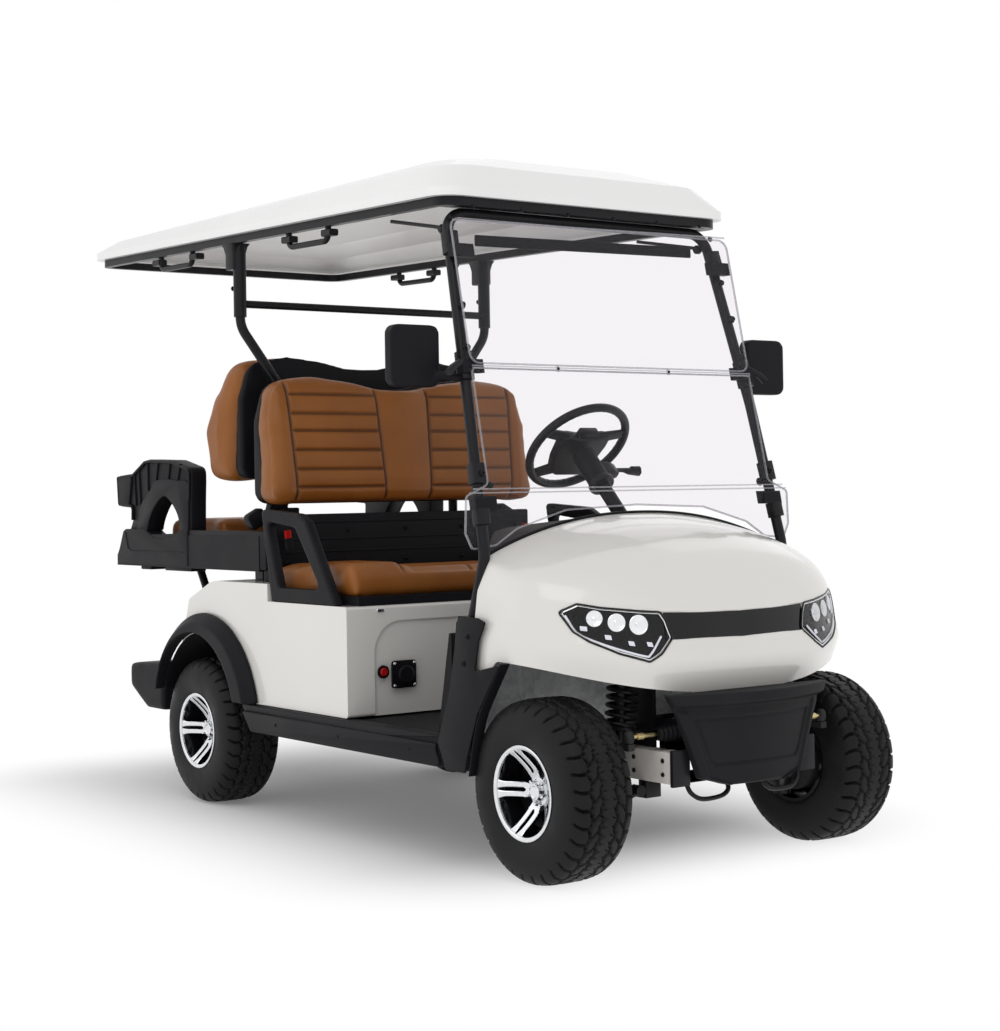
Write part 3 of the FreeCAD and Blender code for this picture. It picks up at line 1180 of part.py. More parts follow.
hingeHeight = "(rearPanelBottom + rearCushionTop) / 2"
hingeY = "rearCushionRear + fitGap + hingeRadius"
panelBoard = block("PanelBoard", ("-rearCushionHalf", "rearCushionHalf"),
                   ("rearCushionFront", hingeY), ("rearPanelBottom", "rearPanelTop"))
panelFlange = block("PanelFlange", ("-rearCushionHalf", "rearCushionHalf"),
                    ("rearCushionRear + fitGap", hingeY), ("rearPanelBottom", hingeHeight))
panelBarrel = rod("PanelBarrel", "x", (hingeY, hingeHeight), "-rearCushionHalf",
                  "rearCushionHalf", "hingeRadius")
panelBore = rod("PanelBore", "x", (hingeY, hingeHeight), "rearCushionHalf - 2 * hingePinLength",
                "rearCushionHalf + overrun", "hingePinRadius + shaftGap")
node(cut("RearPanel", fuse("PanelSolid", panelBoard, panelFlange, panelBarrel), panelBore,
         mirror(panelBore)), "rear_seat_panel")
node(prism("RearCushion", "x", [
    ("rearCushionFront", "rearPanelTop"), ("rearCushionRear", "rearPanelTop"),
    ("rearCushionRear", "rearCushionTop"), ("rearCushionFront", "rearCushionTop"),
], "-rearCushionHalf", "rearCushionHalf", [("rearCushionRound", (2, 3))]), "rear_seat_cushion")

# Rear deck: a shallow tray with side rims that carries the rear bench
deckFloor = block("DeckFloor", ("-deckHalf", "deckHalf"), ("deckFront", "deckRear"),
                  ("deckBottom", "deckFloor"))
deckRim = prism("DeckRim", "x", [
    ("deckFront", "deckFloor"), ("rimRearFoot - rimWall", "deckFloor"),
    ("rimRearTop", "deckRim"), ("deckFront", "deckRim"),
], "deckHalf - rimWall", "deckHalf")
seatStop = block("SeatStop", ("-rearCushionHalf", "rearCushionHalf"),
                 ("rearCushionFront", "rearCushionFront + rimWall"),
                 ("deckFloor", "rearPanelBottom - fitGap"))
hingeStop = block("HingeStop", ("-rearCushionHalf", "rearCushionHalf"),
                  ("rearCushionRear - 2 * rimWall", "rearCushionRear - rimWall"),
                  ("deckFloor", "rearPanelBottom - fitGap"))
hingeLug = block("HingeLug", ("rearCushionHalf + hingeSideGap", "armInner"),
                 (hingeY + " - hingeRadius", hingeY + " + hingeRadius"),
                 ("deckFloor", hingeHeight + " + hingeRadius"))
hingePin = rod("HingePin", "x", (hingeY, hingeHeight), "rearCushionHalf - hingePinLength",
               "armInner", "hingePinRadius")
node(fuse("Deck", deckFloor, deckRim, mirror(deckRim), seatStop, hingeStop, hingeLug, hingePin,
          mirror(hingeLug), mirror(hingePin)), "rear_deck")

# Rear armrests: an arch with a wider cup tray behind it
armBody = prism("ArmBody", "x", [
    ("armFootFront", "armFoot"), ("armNose", "armNoseLow"), ("armNose", "armNoseTop"),
    ("armTopFront", "armTop"), ("armTopRear", "armTop"), ("armTrayFront", "armTrayTop"),
    ("armTrayRear", "armTrayTop"), ("armTrayRear", "armTrayLow"), ("armFootRear", "armFoot"),
], "armWeb", "armOuter", [("armRound", (2, 3, 4, 6, 7))])
armTray = block("ArmTray", ("armInner", "armWeb"), ("armTrayFront", "armTrayRear - armRound"),
                ("armTrayLow", "armTrayTop"))
armArch = prism("ArmArch", "x", [
    ("archFront", "armFoot - overrun"), ("archFront", "armFoot"), ("archFront + archLean", "archTop"),
    ("archRear - archLean", "archTop"), ("archRear", "armFoot"), ("archRear", "armFoot - overrun"),
], "armInner - overrun", "armOuter + overrun", [("archRound", (2, 3))])
cupBore = rod("CupBore", "z", ("(armInner + armOuter) / 2", "(armTrayFront + armTrayRear) / 2"),
              "armTrayTop - cupDepth", "armTrayTop + overrun", "cupRadius")
armSolid = fuse("ArmSolid", armBody, armTray)
node(pair("ArmPair", cut("Arm", armSolid, armArch, cupBore)), "rear_armrests")

# Rear step: a moulded footrest on the rails' ends
stepBody = prism("StepBody", "x", [
    ("stepFront", "stepLow"), ("stepLowRear", "stepLow"), ("stepRear", "stepRearLow"),
    ("stepRear", "stepRearTop"), ("stepFront", "stepTop"),
], "-stepHalf", "stepHalf", [("stepRound", (2, 3))])
node(stepBody, "rear_step")

# Deck stays: slanted bars from the rear body's tail to the deck's underside
stayFoot = Vector(size.stayPlace, size.stayFoot, size.stayFootHeight)
stayHead = Vector(size.stayPlace, size.stayTop, size.deckBottom)
stayPast = stayHead + (stayHead - stayFoot).normalize() * size.overrun
stayBar = feature("StayBar", tube([stayFoot, stayPast], size.stayRadius))
stayAbove = block("StayAbove", ("0", "bodyHalf"), ("bodyFront", "deckRear"),
                  ("deckBottom", "deckRim + overrun"))
node(pair("Stays", cut("Stay", stayBar, bodyOuter, stayAbove)), "deck_stays")

# Roof: a shallow moulded tray on a black rail frame; its lip climbs to the rear, its crown hardly
roofPitch = math.degrees(math.atan(size.roofRise / (size.roofRear - size.roofFront)))
roofPivot = Vector(0, size.roofFront, size.roofLip)


def roofLevels(wall):
    # Four outlines from the lip to the flat crown: front height, rear height, inset
    lipRear = size.roofLip + size.roofRise
    levels = [
        (size.roofLip - wall, lipRear - wall, 0),
        (size.roofLip + size.lipHeight - wall, lipRear + size.lipHeight - wall, 0),
        (size.edgeFront - wall, size.edgeRear - wall, size.edgeInset),
        (size.crownFront - wall, size.crownRear - wall, size.edgeInset + size.crownInset),
    ]
    return [
        roundedWire(size.roofHalf - inset - wall, size.roofFront + inset + wall,
                    size.roofRear - inset - wall, front, rear, size.roofCorner + inset / 2)
        for front, rear, inset in levels
    ]


roofOuter = feature("RoofOuter", Part.makeLoft(roofLevels(0), True, True))
roofInner = feature("RoofInner", Part.makeLoft(roofLevels(size.roofWall), True, True))


def pitched(shape):
    shape.rotate(roofPivot, Vector(1, 0, 0), roofPitch)
    return shape


def ring(outer, inner, thickness):
    # A flat ring between two closed outlines
    return Part.Face(outer).cut(Part.Face(inner)).extrude(Vector(0, 0, thickness))


def railWire(inset, height):
    # Outline of the roof's rail at one height, drawn in by an inset
    return roundedWire(size.roofRailHalf - inset, size.roofRailFront + inset,
                       size.roofRailRear - inset, height, height, size.railCorner - inset)


ledgeInset = size.roofWall / 2
ledgeOuter = roundedWire(size.roofHalf - ledgeInset, size.roofFront + ledgeInset,
                         size.roofRear - ledgeInset, size.roofLip, size.roofLip, size.roofCorner)
ledge = ring(ledgeOuter, railWire(size.roofRail, size.roofLip), size.roofWall)
roofLedge = feature("RoofLedge", pitched(ledge))
node(fuse("Roof", cut("RoofTray", roofOuter, roofInner), roofLedge), "roof_shell")

# Roof frame: a rail all the way round with pads under the roof's ledge, and three grab handles
railRing = ring(railWire(0, railHeight), railWire(size.roofRail, railHeight), size.roofRail)
hoopBar = Part.makeBox(
    2 * size.roofRailHalf - size.roofRail, 2 * size.strutRadius, size.roofRail,
    Vector(size.roofRail / 2 - size.roofRailHalf, size.hoopY - size.strutRadius, railHeight))
frameParts = [railRing, hoopBar]
padCount = 4
for count in range(padCount):
    share = (count + 1 / 2) / padCount
    padPlace = size.roofRailFront + (size.roofRailRear - size.roofRailFront) * share
    for padStart in (-size.roofRailHalf, size.roofRailHalf - size.roofRail):
        frameParts.append(Part.makeBox(
            size.roofRail, 2 * size.roofRail, size.roofLip - size.fitGap - railHeight,
            Vector(padStart, padPlace, railHeight)))
handlePlaces = [(-1, size.firstHandle), (-1, size.secondHandle), (1, size.secondHandle)]
for side, start in handlePlaces:
    x = side * (size.roofRailHalf - size.handleInset)
    top = railHeight + size.handleRadius
    low = railHeight - size.handleDrop
    frameParts.append(tube(
        [Vector(x, start, top), Vector(x, start, low),
         Vector(x, start + size.handleLength, low), Vector(x, start + size.handleLength, top)],
        size.handleRadius, [size.handleBend] * 2))
roofFrame = frameParts[0].multiFuse(frameParts[1:]).removeSplitter()
node(feature("RoofFrame", pitched(roofFrame)), "roof_frame")

# Windscreen: both panes lean with the struts and hang in front of them
glassLean = (size.glassTopY - size.glassLowY) / (size.glassTop - size.lowerBend)


def leaningBlock(xLow, xHigh, zLow, zHigh, depthLow, depthHigh):
    # A block that leans with the glass; depth runs rearwards from the glass's front face
    corners = []
    for z, depth in ((zLow, depthLow), (zHigh, depthLow), (zHigh, depthHigh), (zLow, depthHigh)):
        y = size.glassLowY + (z - size.lowerBend) * glassLean + depth
        corners.append(Vector(xLow, y, z))
    wire = Part.makePolygon(corners + corners[:1])
    return Part.Face(wire).extrude(Vector(xHigh - xLow, 0, 0))


def paneSlab(name, low, high):
    reach = size.lowerHalf + size.overrun
    return feature(name, leaningBlock(-reach, reach, low, high, 0, size.glassThickness))


upperFrame = prism("UpperFrame", "y", [
    ("-glassHalf", "hingeZ + hingeGap"), ("glassHalf", "hingeZ + hingeGap"),
    ("glassHalf", "glassTop"), ("-glassHalf", "glassTop"),
], "-frontOverhang", "hoopY", [("bumperRound", (2, 3))])
upperSlab = paneSlab("UpperSlab", size.hingeZ, size.glassTop + size.overrun)
node(common("UpperPane", upperSlab, upperFrame), "windscreen_upper")
lowerFrame = prism("LowerFrame", "y", [
    ("-glassHalf", "hingeZ"), ("-glassHalf", "lowerBend"), ("-lowerHalf", "lowerWideTop"),
    ("-lowerHalf", "lowerFoot"), ("-glassHalf", "lowerFoot"), ("-lowerShoulderX", "lowerShoulder"),
    ("-lowerArchX", "lowerArch"), ("lowerArchX", "lowerArch"), ("lowerShoulderX", "lowerShoulder"),
    ("glassHalf", "lowerFoot"), ("lowerHalf", "lowerFoot"), ("lowerHalf", "lowerWideTop"),
    ("glassHalf", "lowerBend"), ("glassHalf", "hingeZ"),
], "-frontOverhang", "hoopY", [("lowerRound", (3, 10))])
lowerSlab = paneSlab("LowerSlab", size.lowerFoot - size.overrun, size.hingeZ)
node(common("LowerPane", lowerSlab, lowerFrame), "windscreen_lower")

# Windscreen clips: split blocks that grip the struts behind the glass
clipParts = []
for height in (size.lowClip, size.hingeZ, size.highClip):
    rise = (height - size.strutMidZ) / (hoopZ - size.strutMidZ)
    if height < size.strutMidZ:
        rise = (height - size.strutMidZ) / (size.strutMidZ - size.strutLowZ)
    lean = size.strutMidX - size.hoopX if rise > 0 else size.strutLowX - size.strutMidX
    strutX = size.strutMidX - rise * lean
    clip = leaningBlock(
        strutX - size.clipInboard, strutX + size.clipReach, height - size.clipHeight / 2,
        height + size.clipHeight / 2, size.glassThickness + size.fitGap,
        size.glassThickness + size.fitGap + size.clipDepth)
    clipParts.append(cut("Clip", feature("ClipBlock", clip), strutClear))
clipSide = group("ClipSide", *clipParts)
node(pair("Clips", clipSide), "windscreen_clips")

# Rear struts: tubes that run from the roof bow down and inwards between the seat backs
rearStrutTop = railUnder(size.rearStrutY - size.sleeveRadius) - size.fitGap
rearStrut = tube([
    Vector(size.rearStrutX, size.rearStrutY, rearStrutTop),
    Vector(size.rearStrutX, size.rearStrutY, size.rearBendTop),
    Vector(size.rearStrutFootX, size.rearStrutY, size.rearStrutTurn),
    Vector(size.rearStrutFootX, size.rearStrutY, size.rearStrutFoot),
], size.strutRadius, [size.rearStrutBend] * 2)
sleeve = Part.makeCylinder(
    size.sleeveRadius, rearStrutTop - size.sleeveFoot,
    Vector(size.rearStrutX, size.rearStrutY, size.sleeveFoot))
strutBrackets = [
    Part.makeBox(
        2 * size.bracketHalf, size.rearShellFront - size.frontShellRear, size.bracketHeight,
        Vector(size.rearStrutFootX - size.bracketHalf, size.frontShellRear, height))
    for height in (size.bracketLow, size.bracketHigh)
]
halfFrame = rearStrut.multiFuse([sleeve] + strutBrackets)
otherFrame = halfFrame.mirror(Vector(0, 0, 0), Vector(1, 0, 0))
crossbar = Part.makeCylinder(
    size.crossbarRadius, 2 * size.rearStrutX, Vector(-size.rearStrutX, size.rearStrutY, size.crossbarZ),
    Vector(1, 0, 0))
node(feature("RearStruts", crossbar.multiFuse([halfFrame, otherFrame]).removeSplitter()),
     "rear_struts")

# Mirrors: rounded housings on arms from the front struts
mirrorShell = prism("MirrorShell", "y", [
    ("mirrorInner", "mirrorLow"), ("mirrorOuter", "mirrorLow"),
    ("mirrorOuter", "mirrorHigh"), ("mirrorInner", "mirrorHigh"),
], "mirrorFront", "mirrorRear", [("mirrorRound", (0, 1, 2, 3))])
armStart = Vector(
    size.strutMidX, size.strutMidY + (size.mirrorArmZ - size.strutMidZ) * glassLean,
    size.mirrorArmZ)
armEnd = Vector(
    size.mirrorInner + size.mirrorRound, (size.mirrorFront + size.mirrorRear) / 2,
    size.mirrorArmZ + size.mirrorRound / 2)
mirrorArm = feature("MirrorArm", tube([armStart, armEnd], size.mirrorArmRadius))
mirrorAssembly = cut("MirrorCut", fuse("MirrorSolid", mirrorShell, mirrorArm), strutClear)
node(pair("Mirrors", mirrorAssembly), "mirrors")

# Seat belt reels behind the front bench
reel = block("Reel", ("beltX - beltWidth / 2", "beltX + beltWidth / 2"), ("beltFront", "beltRear"),
             ("deckFloor + fitGap", "beltTop"))
node(pair("Reels", reel), "seat_belts")

# Tail lights on the rear body's shoulder
tailSlope = "(bodyRear - shoulderRear) / (shoulderDrop - tailHeight)"
tailFace = "bodyRear + fitGap - %s * (%%s - tailHeight)" % tailSlope
tailLamp = prism("TailLamp", "x", [
    (tailFace % "tailLampLow", "tailLampLow"),
    (tailFace % "tailLampLow" + " + tailLampDepth", "tailLampLow"),
    (tailFace % "tailLampHigh" + " + tailLampDepth", "tailLampHigh"),
    (tailFace % "tailLampHigh", "tailLampHigh"),
], "tailLampInner", "tailLampOuter")
node(pair("TailLamps", tailLamp), "tail_lights")

# Every node moves from the front axle's origin to the cart's middle
middleShift = "frontOverhang - overallLength / 2"
for item in nodes:
    if item in standing:
        continue
    if item in blockStarts:
        bind(item, "Placement.Base.y", "(%s) + %s" % (blockStarts[item], middleShift))
    elif item.TypeId == "Part::Feature":
        shift = size.frontOverhang - size.overallLength / 2
        item.Placement = Placement(Vector(0, shift, 0), Rotation()).multiply(item.Placement)
    else:
        bind(item, "Placement.Base.y", middleShift)

doc.recompute()
for item in doc.Objects:
    if "Invalid" in item.State or "Error" in item.State:
        raise RuntimeError("%s did not build: %s" % (item.Label, item.State))
for item in nodes:
    if item.Shape.isNull() or not item.Shape.isValid():
        raise RuntimeError("%s has no valid shape" % item.Label)

os.makedirs("parts", exist_ok=True)
for item in nodes:
    item.Shape.exportStep("parts/%s.step" % item.Label)
print(len(nodes), "nodes")
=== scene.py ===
import bpy
import bmesh
import math
import numpy as np
from mathutils import Matrix, Vector


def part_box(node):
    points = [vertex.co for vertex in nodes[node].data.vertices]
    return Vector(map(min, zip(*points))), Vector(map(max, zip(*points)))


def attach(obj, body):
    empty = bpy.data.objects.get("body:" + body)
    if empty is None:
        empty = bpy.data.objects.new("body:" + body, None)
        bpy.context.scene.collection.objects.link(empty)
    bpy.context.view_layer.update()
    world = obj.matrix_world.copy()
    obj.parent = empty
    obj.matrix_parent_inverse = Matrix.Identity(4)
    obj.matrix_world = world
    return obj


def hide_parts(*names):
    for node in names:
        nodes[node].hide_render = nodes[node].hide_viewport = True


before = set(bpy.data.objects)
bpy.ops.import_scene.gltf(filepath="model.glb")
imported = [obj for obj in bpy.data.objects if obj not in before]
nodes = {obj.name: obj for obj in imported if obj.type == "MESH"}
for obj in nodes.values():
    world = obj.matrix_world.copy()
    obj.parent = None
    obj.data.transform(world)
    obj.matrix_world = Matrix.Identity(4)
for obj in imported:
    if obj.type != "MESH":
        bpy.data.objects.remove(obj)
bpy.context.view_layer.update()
mm = 0.001
axleY = -1.128  # the front axle's place, and every y below is counted rearwards from it
scene = bpy.context.scene
print("frame loaded:", len(nodes), "nodes")

# Camera, floor and light

cameraPlace = dict(
    azimuth=-36.3007, elevation=-0.5629, roll=-0.9424, x=-3.33287, y=-3.75761, z=0.96737,
    focalPixels=1918.37, principalX=507.99, principalY=471.52, imageWide=1000, imageHigh=1031)
lightSet = dict(
    world=0.72, sunEnergy=0.75, keyEnergy=38, keySize=3.2, fillEnergy=16, fillSize=4.0,
    floorGrey=0.80, floorHalf=30, cartHalf=(0.42, 0.95, 1), cartShift=(0, -0.28, 0),
    fade=(0.0, 0.75), glowNearCart=0.12)


def makeCamera(p):
    # The axes are turned by azimuth and elevation, then rolled about the line of sight
    a, e, r = (math.radians(p[k]) for k in ("azimuth", "elevation", "roll"))
    back = np.array([math.sin(a) * math.cos(e), -math.cos(a) * math.cos(e), math.sin(e)])
    right = np.cross(-back, [0, 0, 1])
    right /= np.linalg.norm(right)
    up = np.cross(right, -back)
    rolled = right * math.cos(r) + up * math.sin(r)
    upright = up * math.cos(r) - right * math.sin(r)
    data = bpy.data.cameras.new("viewpoint")
    longSide = max(p["imageWide"], p["imageHigh"])
    data.sensor_width = 36
    data.lens = data.sensor_width * p["focalPixels"] / longSide
    data.shift_x = (p["imageWide"] / 2 - p["principalX"]) / longSide
    data.shift_y = (p["principalY"] - p["imageHigh"] / 2) / longSide
    data.clip_end = 200
    camera = bpy.data.objects.new("viewpoint", data)
    scene.collection.objects.link(camera)
    turned = Matrix([list(rolled), list(upright), list(back)]).transposed().to_4x4()
    turned.translation = (p["x"], p["y"] + axleY, p["z"])
    camera.matrix_world = turned
    scene.camera = camera


def makeLights(p):
    for name, energy, size, place, aim in (
            ("keySoft", p["keyEnergy"], p["keySize"], (-3.2, -3.0, 4.6), (0, -0.6, 0.7)),
            ("sideSoft", p["fillEnergy"], p["fillSize"], (-4.5, 1.8, 3.4), (0, 0.4, 0.7)),
            ("backSoft", p["fillEnergy"], p["fillSize"], (3.8, 2.4, 4.2), (0, 0, 0.8))):
        data = bpy.data.lights.new(name, "AREA")
        data.energy = energy
        data.size = size
        lamp = bpy.data.objects.new(name, data)
        lamp.location = place
        aimLine = np.array(aim) - np.array(place)
        lamp.rotation_mode = "QUATERNION"
        lamp.rotation_quaternion = Vector(aimLine).to_track_quat("-Z", "Y")
        scene.collection.objects.link(lamp)


def addNode(tree, kind, inputs=(), **settings):
    # A new shader node, its named settings, and its inputs as numbers, colours or other sockets
    node = tree.nodes.new("ShaderNode" + kind)
    for name, value in settings.items():
        setattr(node, name, value)
    for key, value in dict(inputs).items():
        if isinstance(value, bpy.types.NodeSocket):
            tree.links.new(value, node.inputs[key])
        else:
            node.inputs[key].default_value = value
    return node


def makeWorld(p):
    # Seen by the eye, or in gloss and glass, the backdrop is plain white
    world = bpy.data.worlds.new("paleStudio")
    scene.world = world
    world.use_nodes = True
    tree = world.node_tree
    sky = tree.nodes["Background"]
    sky.inputs["Color"].default_value = (1, 1, 1, 1)
    sky.inputs["Strength"].default_value = p["world"]
    rays = addNode(tree, "LightPath").outputs
    seen = addNode(tree, "Math", {0: rays["Is Camera Ray"], 1: rays["Is Glossy Ray"]}, operation="MAXIMUM")
    both = addNode(tree, "Math", {0: seen.outputs[0], 1: rays["Is Transmission Ray"]}, operation="MAXIMUM")
    white = addNode(tree, "Background", {"Color": (1, 1, 1, 1), "Strength": 1.0})
    mix = addNode(tree, "MixShader", {"Fac": both.outputs[0], 1: sky.outputs[0], 2: white.outputs[0]})
    tree.links.new(mix.outputs[0], tree.nodes["World Output"].inputs["Surface"])


makeCamera(cameraPlace)
makeLights(lightSet)
makeWorld(lightSet)
scene.view_settings.view_transform = "Standard"
print("camera and light made")

# Materials


def shader(name, color, roughness, metallic=0.0, coat=0.0, specular=0.5):
    material = bpy.data.materials.new(name)
    material.use_nodes = True
    tree = material.node_tree
    skin = tree.nodes["Principled BSDF"]
    for socket, value in (
            ("Base Color", (*color, 1)), ("Roughness", roughness), ("Metallic", metallic),
            ("Coat Weight", coat), ("Coat Roughness", 0.04), ("Specular IOR Level", specular)):
        skin.inputs[socket].default_value = value
    return material, tree, skin


def noiseOn(tree, scale, detail=3.0, stretch=(1, 1, 1)):
    # Noise that stays on the piece: object coordinates, scaled along each axis
    place = addNode(tree, "TexCoord").outputs["Object"]
    mapping = addNode(tree, "Mapping", {"Scale": stretch, "Vector": place})
    return addNode(tree, "TexNoise", {"Scale": scale, "Detail": detail, "Vector": mapping.outputs[0]})


def rampOf(tree, noise, low=0.0, high=1.0):
    # The middle of the noise stretched over a range
    return addNode(tree, "MapRange", {
        "From Min": 0.3, "From Max": 0.7, "To Min": low, "To Max": high, "Value": noise.outputs["Fac"]})


def mixColors(tree, skin, share, low, high):
    mix = addNode(tree, "Mix", data_type="RGBA")
    for socket, value in (("Factor", share), ("A", low), ("B", high)):
        if isinstance(value, bpy.types.NodeSocket):
            tree.links.new(value, mix.inputs[socket])
        else:
            mix.inputs[socket].default_value = (*value, 1)
    tree.links.new(mix.outputs["Result"], skin.inputs["Base Color"])
    return mix


def varyColor(tree, skin, noise, low, high):
    return mixColors(tree, skin, rampOf(tree, noise).outputs[0], low, high)


def varyRoughness(tree, skin, noise, low, high):
    tree.links.new(rampOf(tree, noise, low, high).outputs[0], skin.inputs["Roughness"])


def bumpFrom(tree, skin, height, strength, distance, below=None):
    bump = addNode(tree, "Bump", {"Strength": strength, "Distance": distance, "Height": height})
    if below:
        tree.links.new(below.outputs[0], bump.inputs["Normal"])
    tree.links.new(bump.outputs[0], skin.inputs["Normal"])
    return bump


def surfaceMix(tree, share, first, second):
    # The finished surface is the first shader, and the second by its share
    mix = addNode(tree, "MixShader", {"Fac": share, 1: first.outputs[0], 2: second.outputs[0]})
    tree.links.new(mix.outputs[0], tree.nodes["Material Output"].inputs["Surface"])


def makePaint():
    material, tree, skin = shader("bodyPaint", (0.75, 0.735, 0.70), 0.22, coat=0.7)
    varyColor(tree, skin, noiseOn(tree, 2.2), (0.735, 0.72, 0.685), (0.765, 0.75, 0.715))
    bumpFrom(tree, skin, noiseOn(tree, 900, 1.0).outputs["Fac"], 0.04, 0.0004)
    return material


def makeRoofWhite():
    material, tree, skin = shader("roofWhite", (0.86, 0.86, 0.85), 0.35, coat=0.25)
    varyColor(tree, skin, noiseOn(tree, 1.7), (0.84, 0.84, 0.835), (0.88, 0.88, 0.875))
    bumpFrom(tree, skin, noiseOn(tree, 500, 2.0).outputs["Fac"], 0.05, 0.0005)
    return material


def makeBlackPlastic(name, color, roughness, grain, depth, gloss=0.12):
    # Moulded plastic: leathery grain in the bump, cloudy gloss, slightly uneven black
    material, tree, skin = shader(name, color, roughness, specular=gloss)
    cloud = noiseOn(tree, 6, 4.0)
    lighter = tuple(c * 1.5 for c in color)
    varyColor(tree, skin, cloud, color, lighter)
    varyRoughness(tree, skin, cloud, roughness - 0.06, roughness + 0.06)
    bumpFrom(tree, skin, noiseOn(tree, grain, 2.0).outputs["Fac"], 0.35, depth)
    return material


def makeRubber():
    material, tree, skin = shader("tyreRubber", (0.008, 0.008, 0.009), 0.5, specular=0.16)
    dust = noiseOn(tree, 14, 5.0)
    varyColor(tree, skin, dust, (0.006, 0.006, 0.007), (0.011, 0.011, 0.012))
    varyRoughness(tree, skin, dust, 0.4, 0.6)
    bumpFrom(tree, skin, noiseOn(tree, 420, 3.0).outputs["Fac"], 0.3, 0.0006)
    return material


def makeMetal(name, color, roughness, stretch, grain=60):
    material, tree, skin = shader(name, color, roughness, metallic=1.0)
    brushed = noiseOn(tree, grain, 4.0, stretch)
    varyRoughness(tree, skin, brushed, roughness - 0.07, roughness + 0.09)
    varyColor(tree, skin, brushed, tuple(c * 0.88 for c in color), color)
    bumpFrom(tree, skin, brushed.outputs["Fac"], 0.08, 0.0003)
    return material


def makeGalvanised():
    # Zinc spangle: crystal cells of slightly different brightness
    material, tree, skin = shader("galvanised", (0.60, 0.61, 0.62), 0.38, metallic=0.9)
    place = addNode(tree, "TexCoord").outputs["Object"]
    cells = addNode(tree, "TexVoronoi", {"Scale": 70, "Vector": place})
    mixColors(tree, skin, cells.outputs["Color"], (0.46, 0.47, 0.48), (0.68, 0.69, 0.70))
    varyRoughness(tree, skin, noiseOn(tree, 9, 4.0), 0.3, 0.5)
    return material


def makeLeather():
    # Tan leather: pebble and fine pores, uneven in colour where worn, with painted shade along its pressed
    # seams and channels
    material, tree, skin = shader("tanLeather", (0.25, 0.083, 0.014), 0.42, coat=0.03, specular=0.3)
    worn = noiseOn(tree, 5.5, 5.0)
    base = varyColor(tree, skin, worn, (0.225, 0.072, 0.010), (0.285, 0.098, 0.016))
    # Painted shade: dark brown mixed in by the depth of the pressed seams and channels, strongest where they
    # sink deepest
    seam = addNode(tree, "Attribute", attribute_name="seam")
    mixColors(tree, skin, seam.outputs["Fac"], base.outputs["Result"], (0.05, 0.016, 0.004))
    varyRoughness(tree, skin, worn, 0.36, 0.5)
    place = addNode(tree, "TexCoord").outputs["Object"]
    pebble = addNode(tree, "TexVoronoi", {"Scale": 420, "Vector": place}, feature="DISTANCE_TO_EDGE")
    first = bumpFrom(tree, skin, pebble.outputs["Distance"], 0.35, 0.0006)
    bumpFrom(tree, skin, noiseOn(tree, 60, 4.0).outputs["Fac"], 0.25, 0.0012, first)
    return material


def makeClear(name, color, share, roughness=0.02, tint=(1, 1, 1)):
    # Light passes straight through, tinted, apart from a small share that meets a glossy skin
    material, tree, skin = shader(name, color, roughness, specular=0.5)
    varyColor(tree, skin, noiseOn(tree, 2.0), tuple(c * 0.98 for c in color), color)
    through = addNode(tree, "BsdfTransparent", {"Color": (*tint, 1)})
    edge = addNode(tree, "LayerWeight", {"Blend": 0.12})
    bend = addNode(tree, "Math", {0: edge.outputs["Fresnel"], 1: 0.35, 2: share}, operation="MULTIPLY_ADD")
    surfaceMix(tree, bend.outputs[0], through, skin)
    return material


def makeGlow(name, color, strength):
    material, tree, skin = shader(name, color, 0.3)
    skin.inputs["Emission Color"].default_value = (*color, 1)
    skin.inputs["Emission Strength"].default_value = strength
    varyColor(tree, skin, noiseOn(tree, 30), tuple(c * 0.97 for c in color), color)
    return material


bodyPaint = makePaint()
roofWhite = makeRoofWhite()
blackPlastic = makeBlackPlastic("blackPlastic", (0.006, 0.006, 0.0075), 0.48, 700, 0.0006)
bumperPlastic = makeBlackPlastic("bumperPlastic", (0.010, 0.010, 0.0115), 0.58, 330, 0.0016)
blackSatin = makeBlackPlastic("blackSatin", (0.006, 0.006, 0.0075), 0.36, 900, 0.0003, 0.2)
blackGloss = makeBlackPlastic("blackGloss", (0.004, 0.004, 0.005), 0.12, 400, 0.0001, 0.3)
matRubber = makeBlackPlastic("matRubber", (0.010, 0.010, 0.011), 0.7, 300, 0.001)
castBlack = makeBlackPlastic("castBlack", (0.020, 0.020, 0.021), 0.6, 160, 0.0015, 0.2)
tyreRubber = makeRubber()
machined = makeMetal("machinedFace", (0.80, 0.81, 0.83), 0.22, (1, 1, 1), 90)
chrome = makeMetal("brightChrome", (0.86, 0.87, 0.88), 0.1, (1, 1, 1), 20)
zinc = makeMetal("yellowZinc", (0.62, 0.50, 0.26), 0.32, (1, 1, 1), 50)
reflector = makeMetal("reflector", (0.9, 0.91, 0.93), 0.16, (1, 1, 1), 40)
brightZinc = makeBlackPlastic("brightZinc", (0.52, 0.49, 0.46), 0.42, 60, 0.0006, 0.6)
galvanised = makeGalvanised()
leather = makeLeather()
paneClear = makeClear("paneClear", (0.5, 0.5, 0.52), 0.02, tint=(0.965, 0.955, 0.965))
# The edge finish is a greyer, less clear skin: a painted highlight for the light caught in cut edges, bend
# and fold lines
paneEdgeHighlight = makeClear("paneEdgeHighlight", (0.55, 0.55, 0.58), 0.30, 0.08, (0.9, 0.89, 0.91))
lampClear = makeClear("lampClear", (0.1, 0.1, 0.1), 0.01)
lampWhite = makeGlow("lampWhite", (0.80, 0.80, 0.88), 0.05)
redLens = makeBlackPlastic("redLens", (0.35, 0.008, 0.008), 0.18, 200, 0.0002)


def dress(material, *names):
    # A CAD node that stays keeps its mesh and takes a new finish
    for name in names:
        nodes[name].data.materials.clear()
        nodes[name].data.materials.append(material)


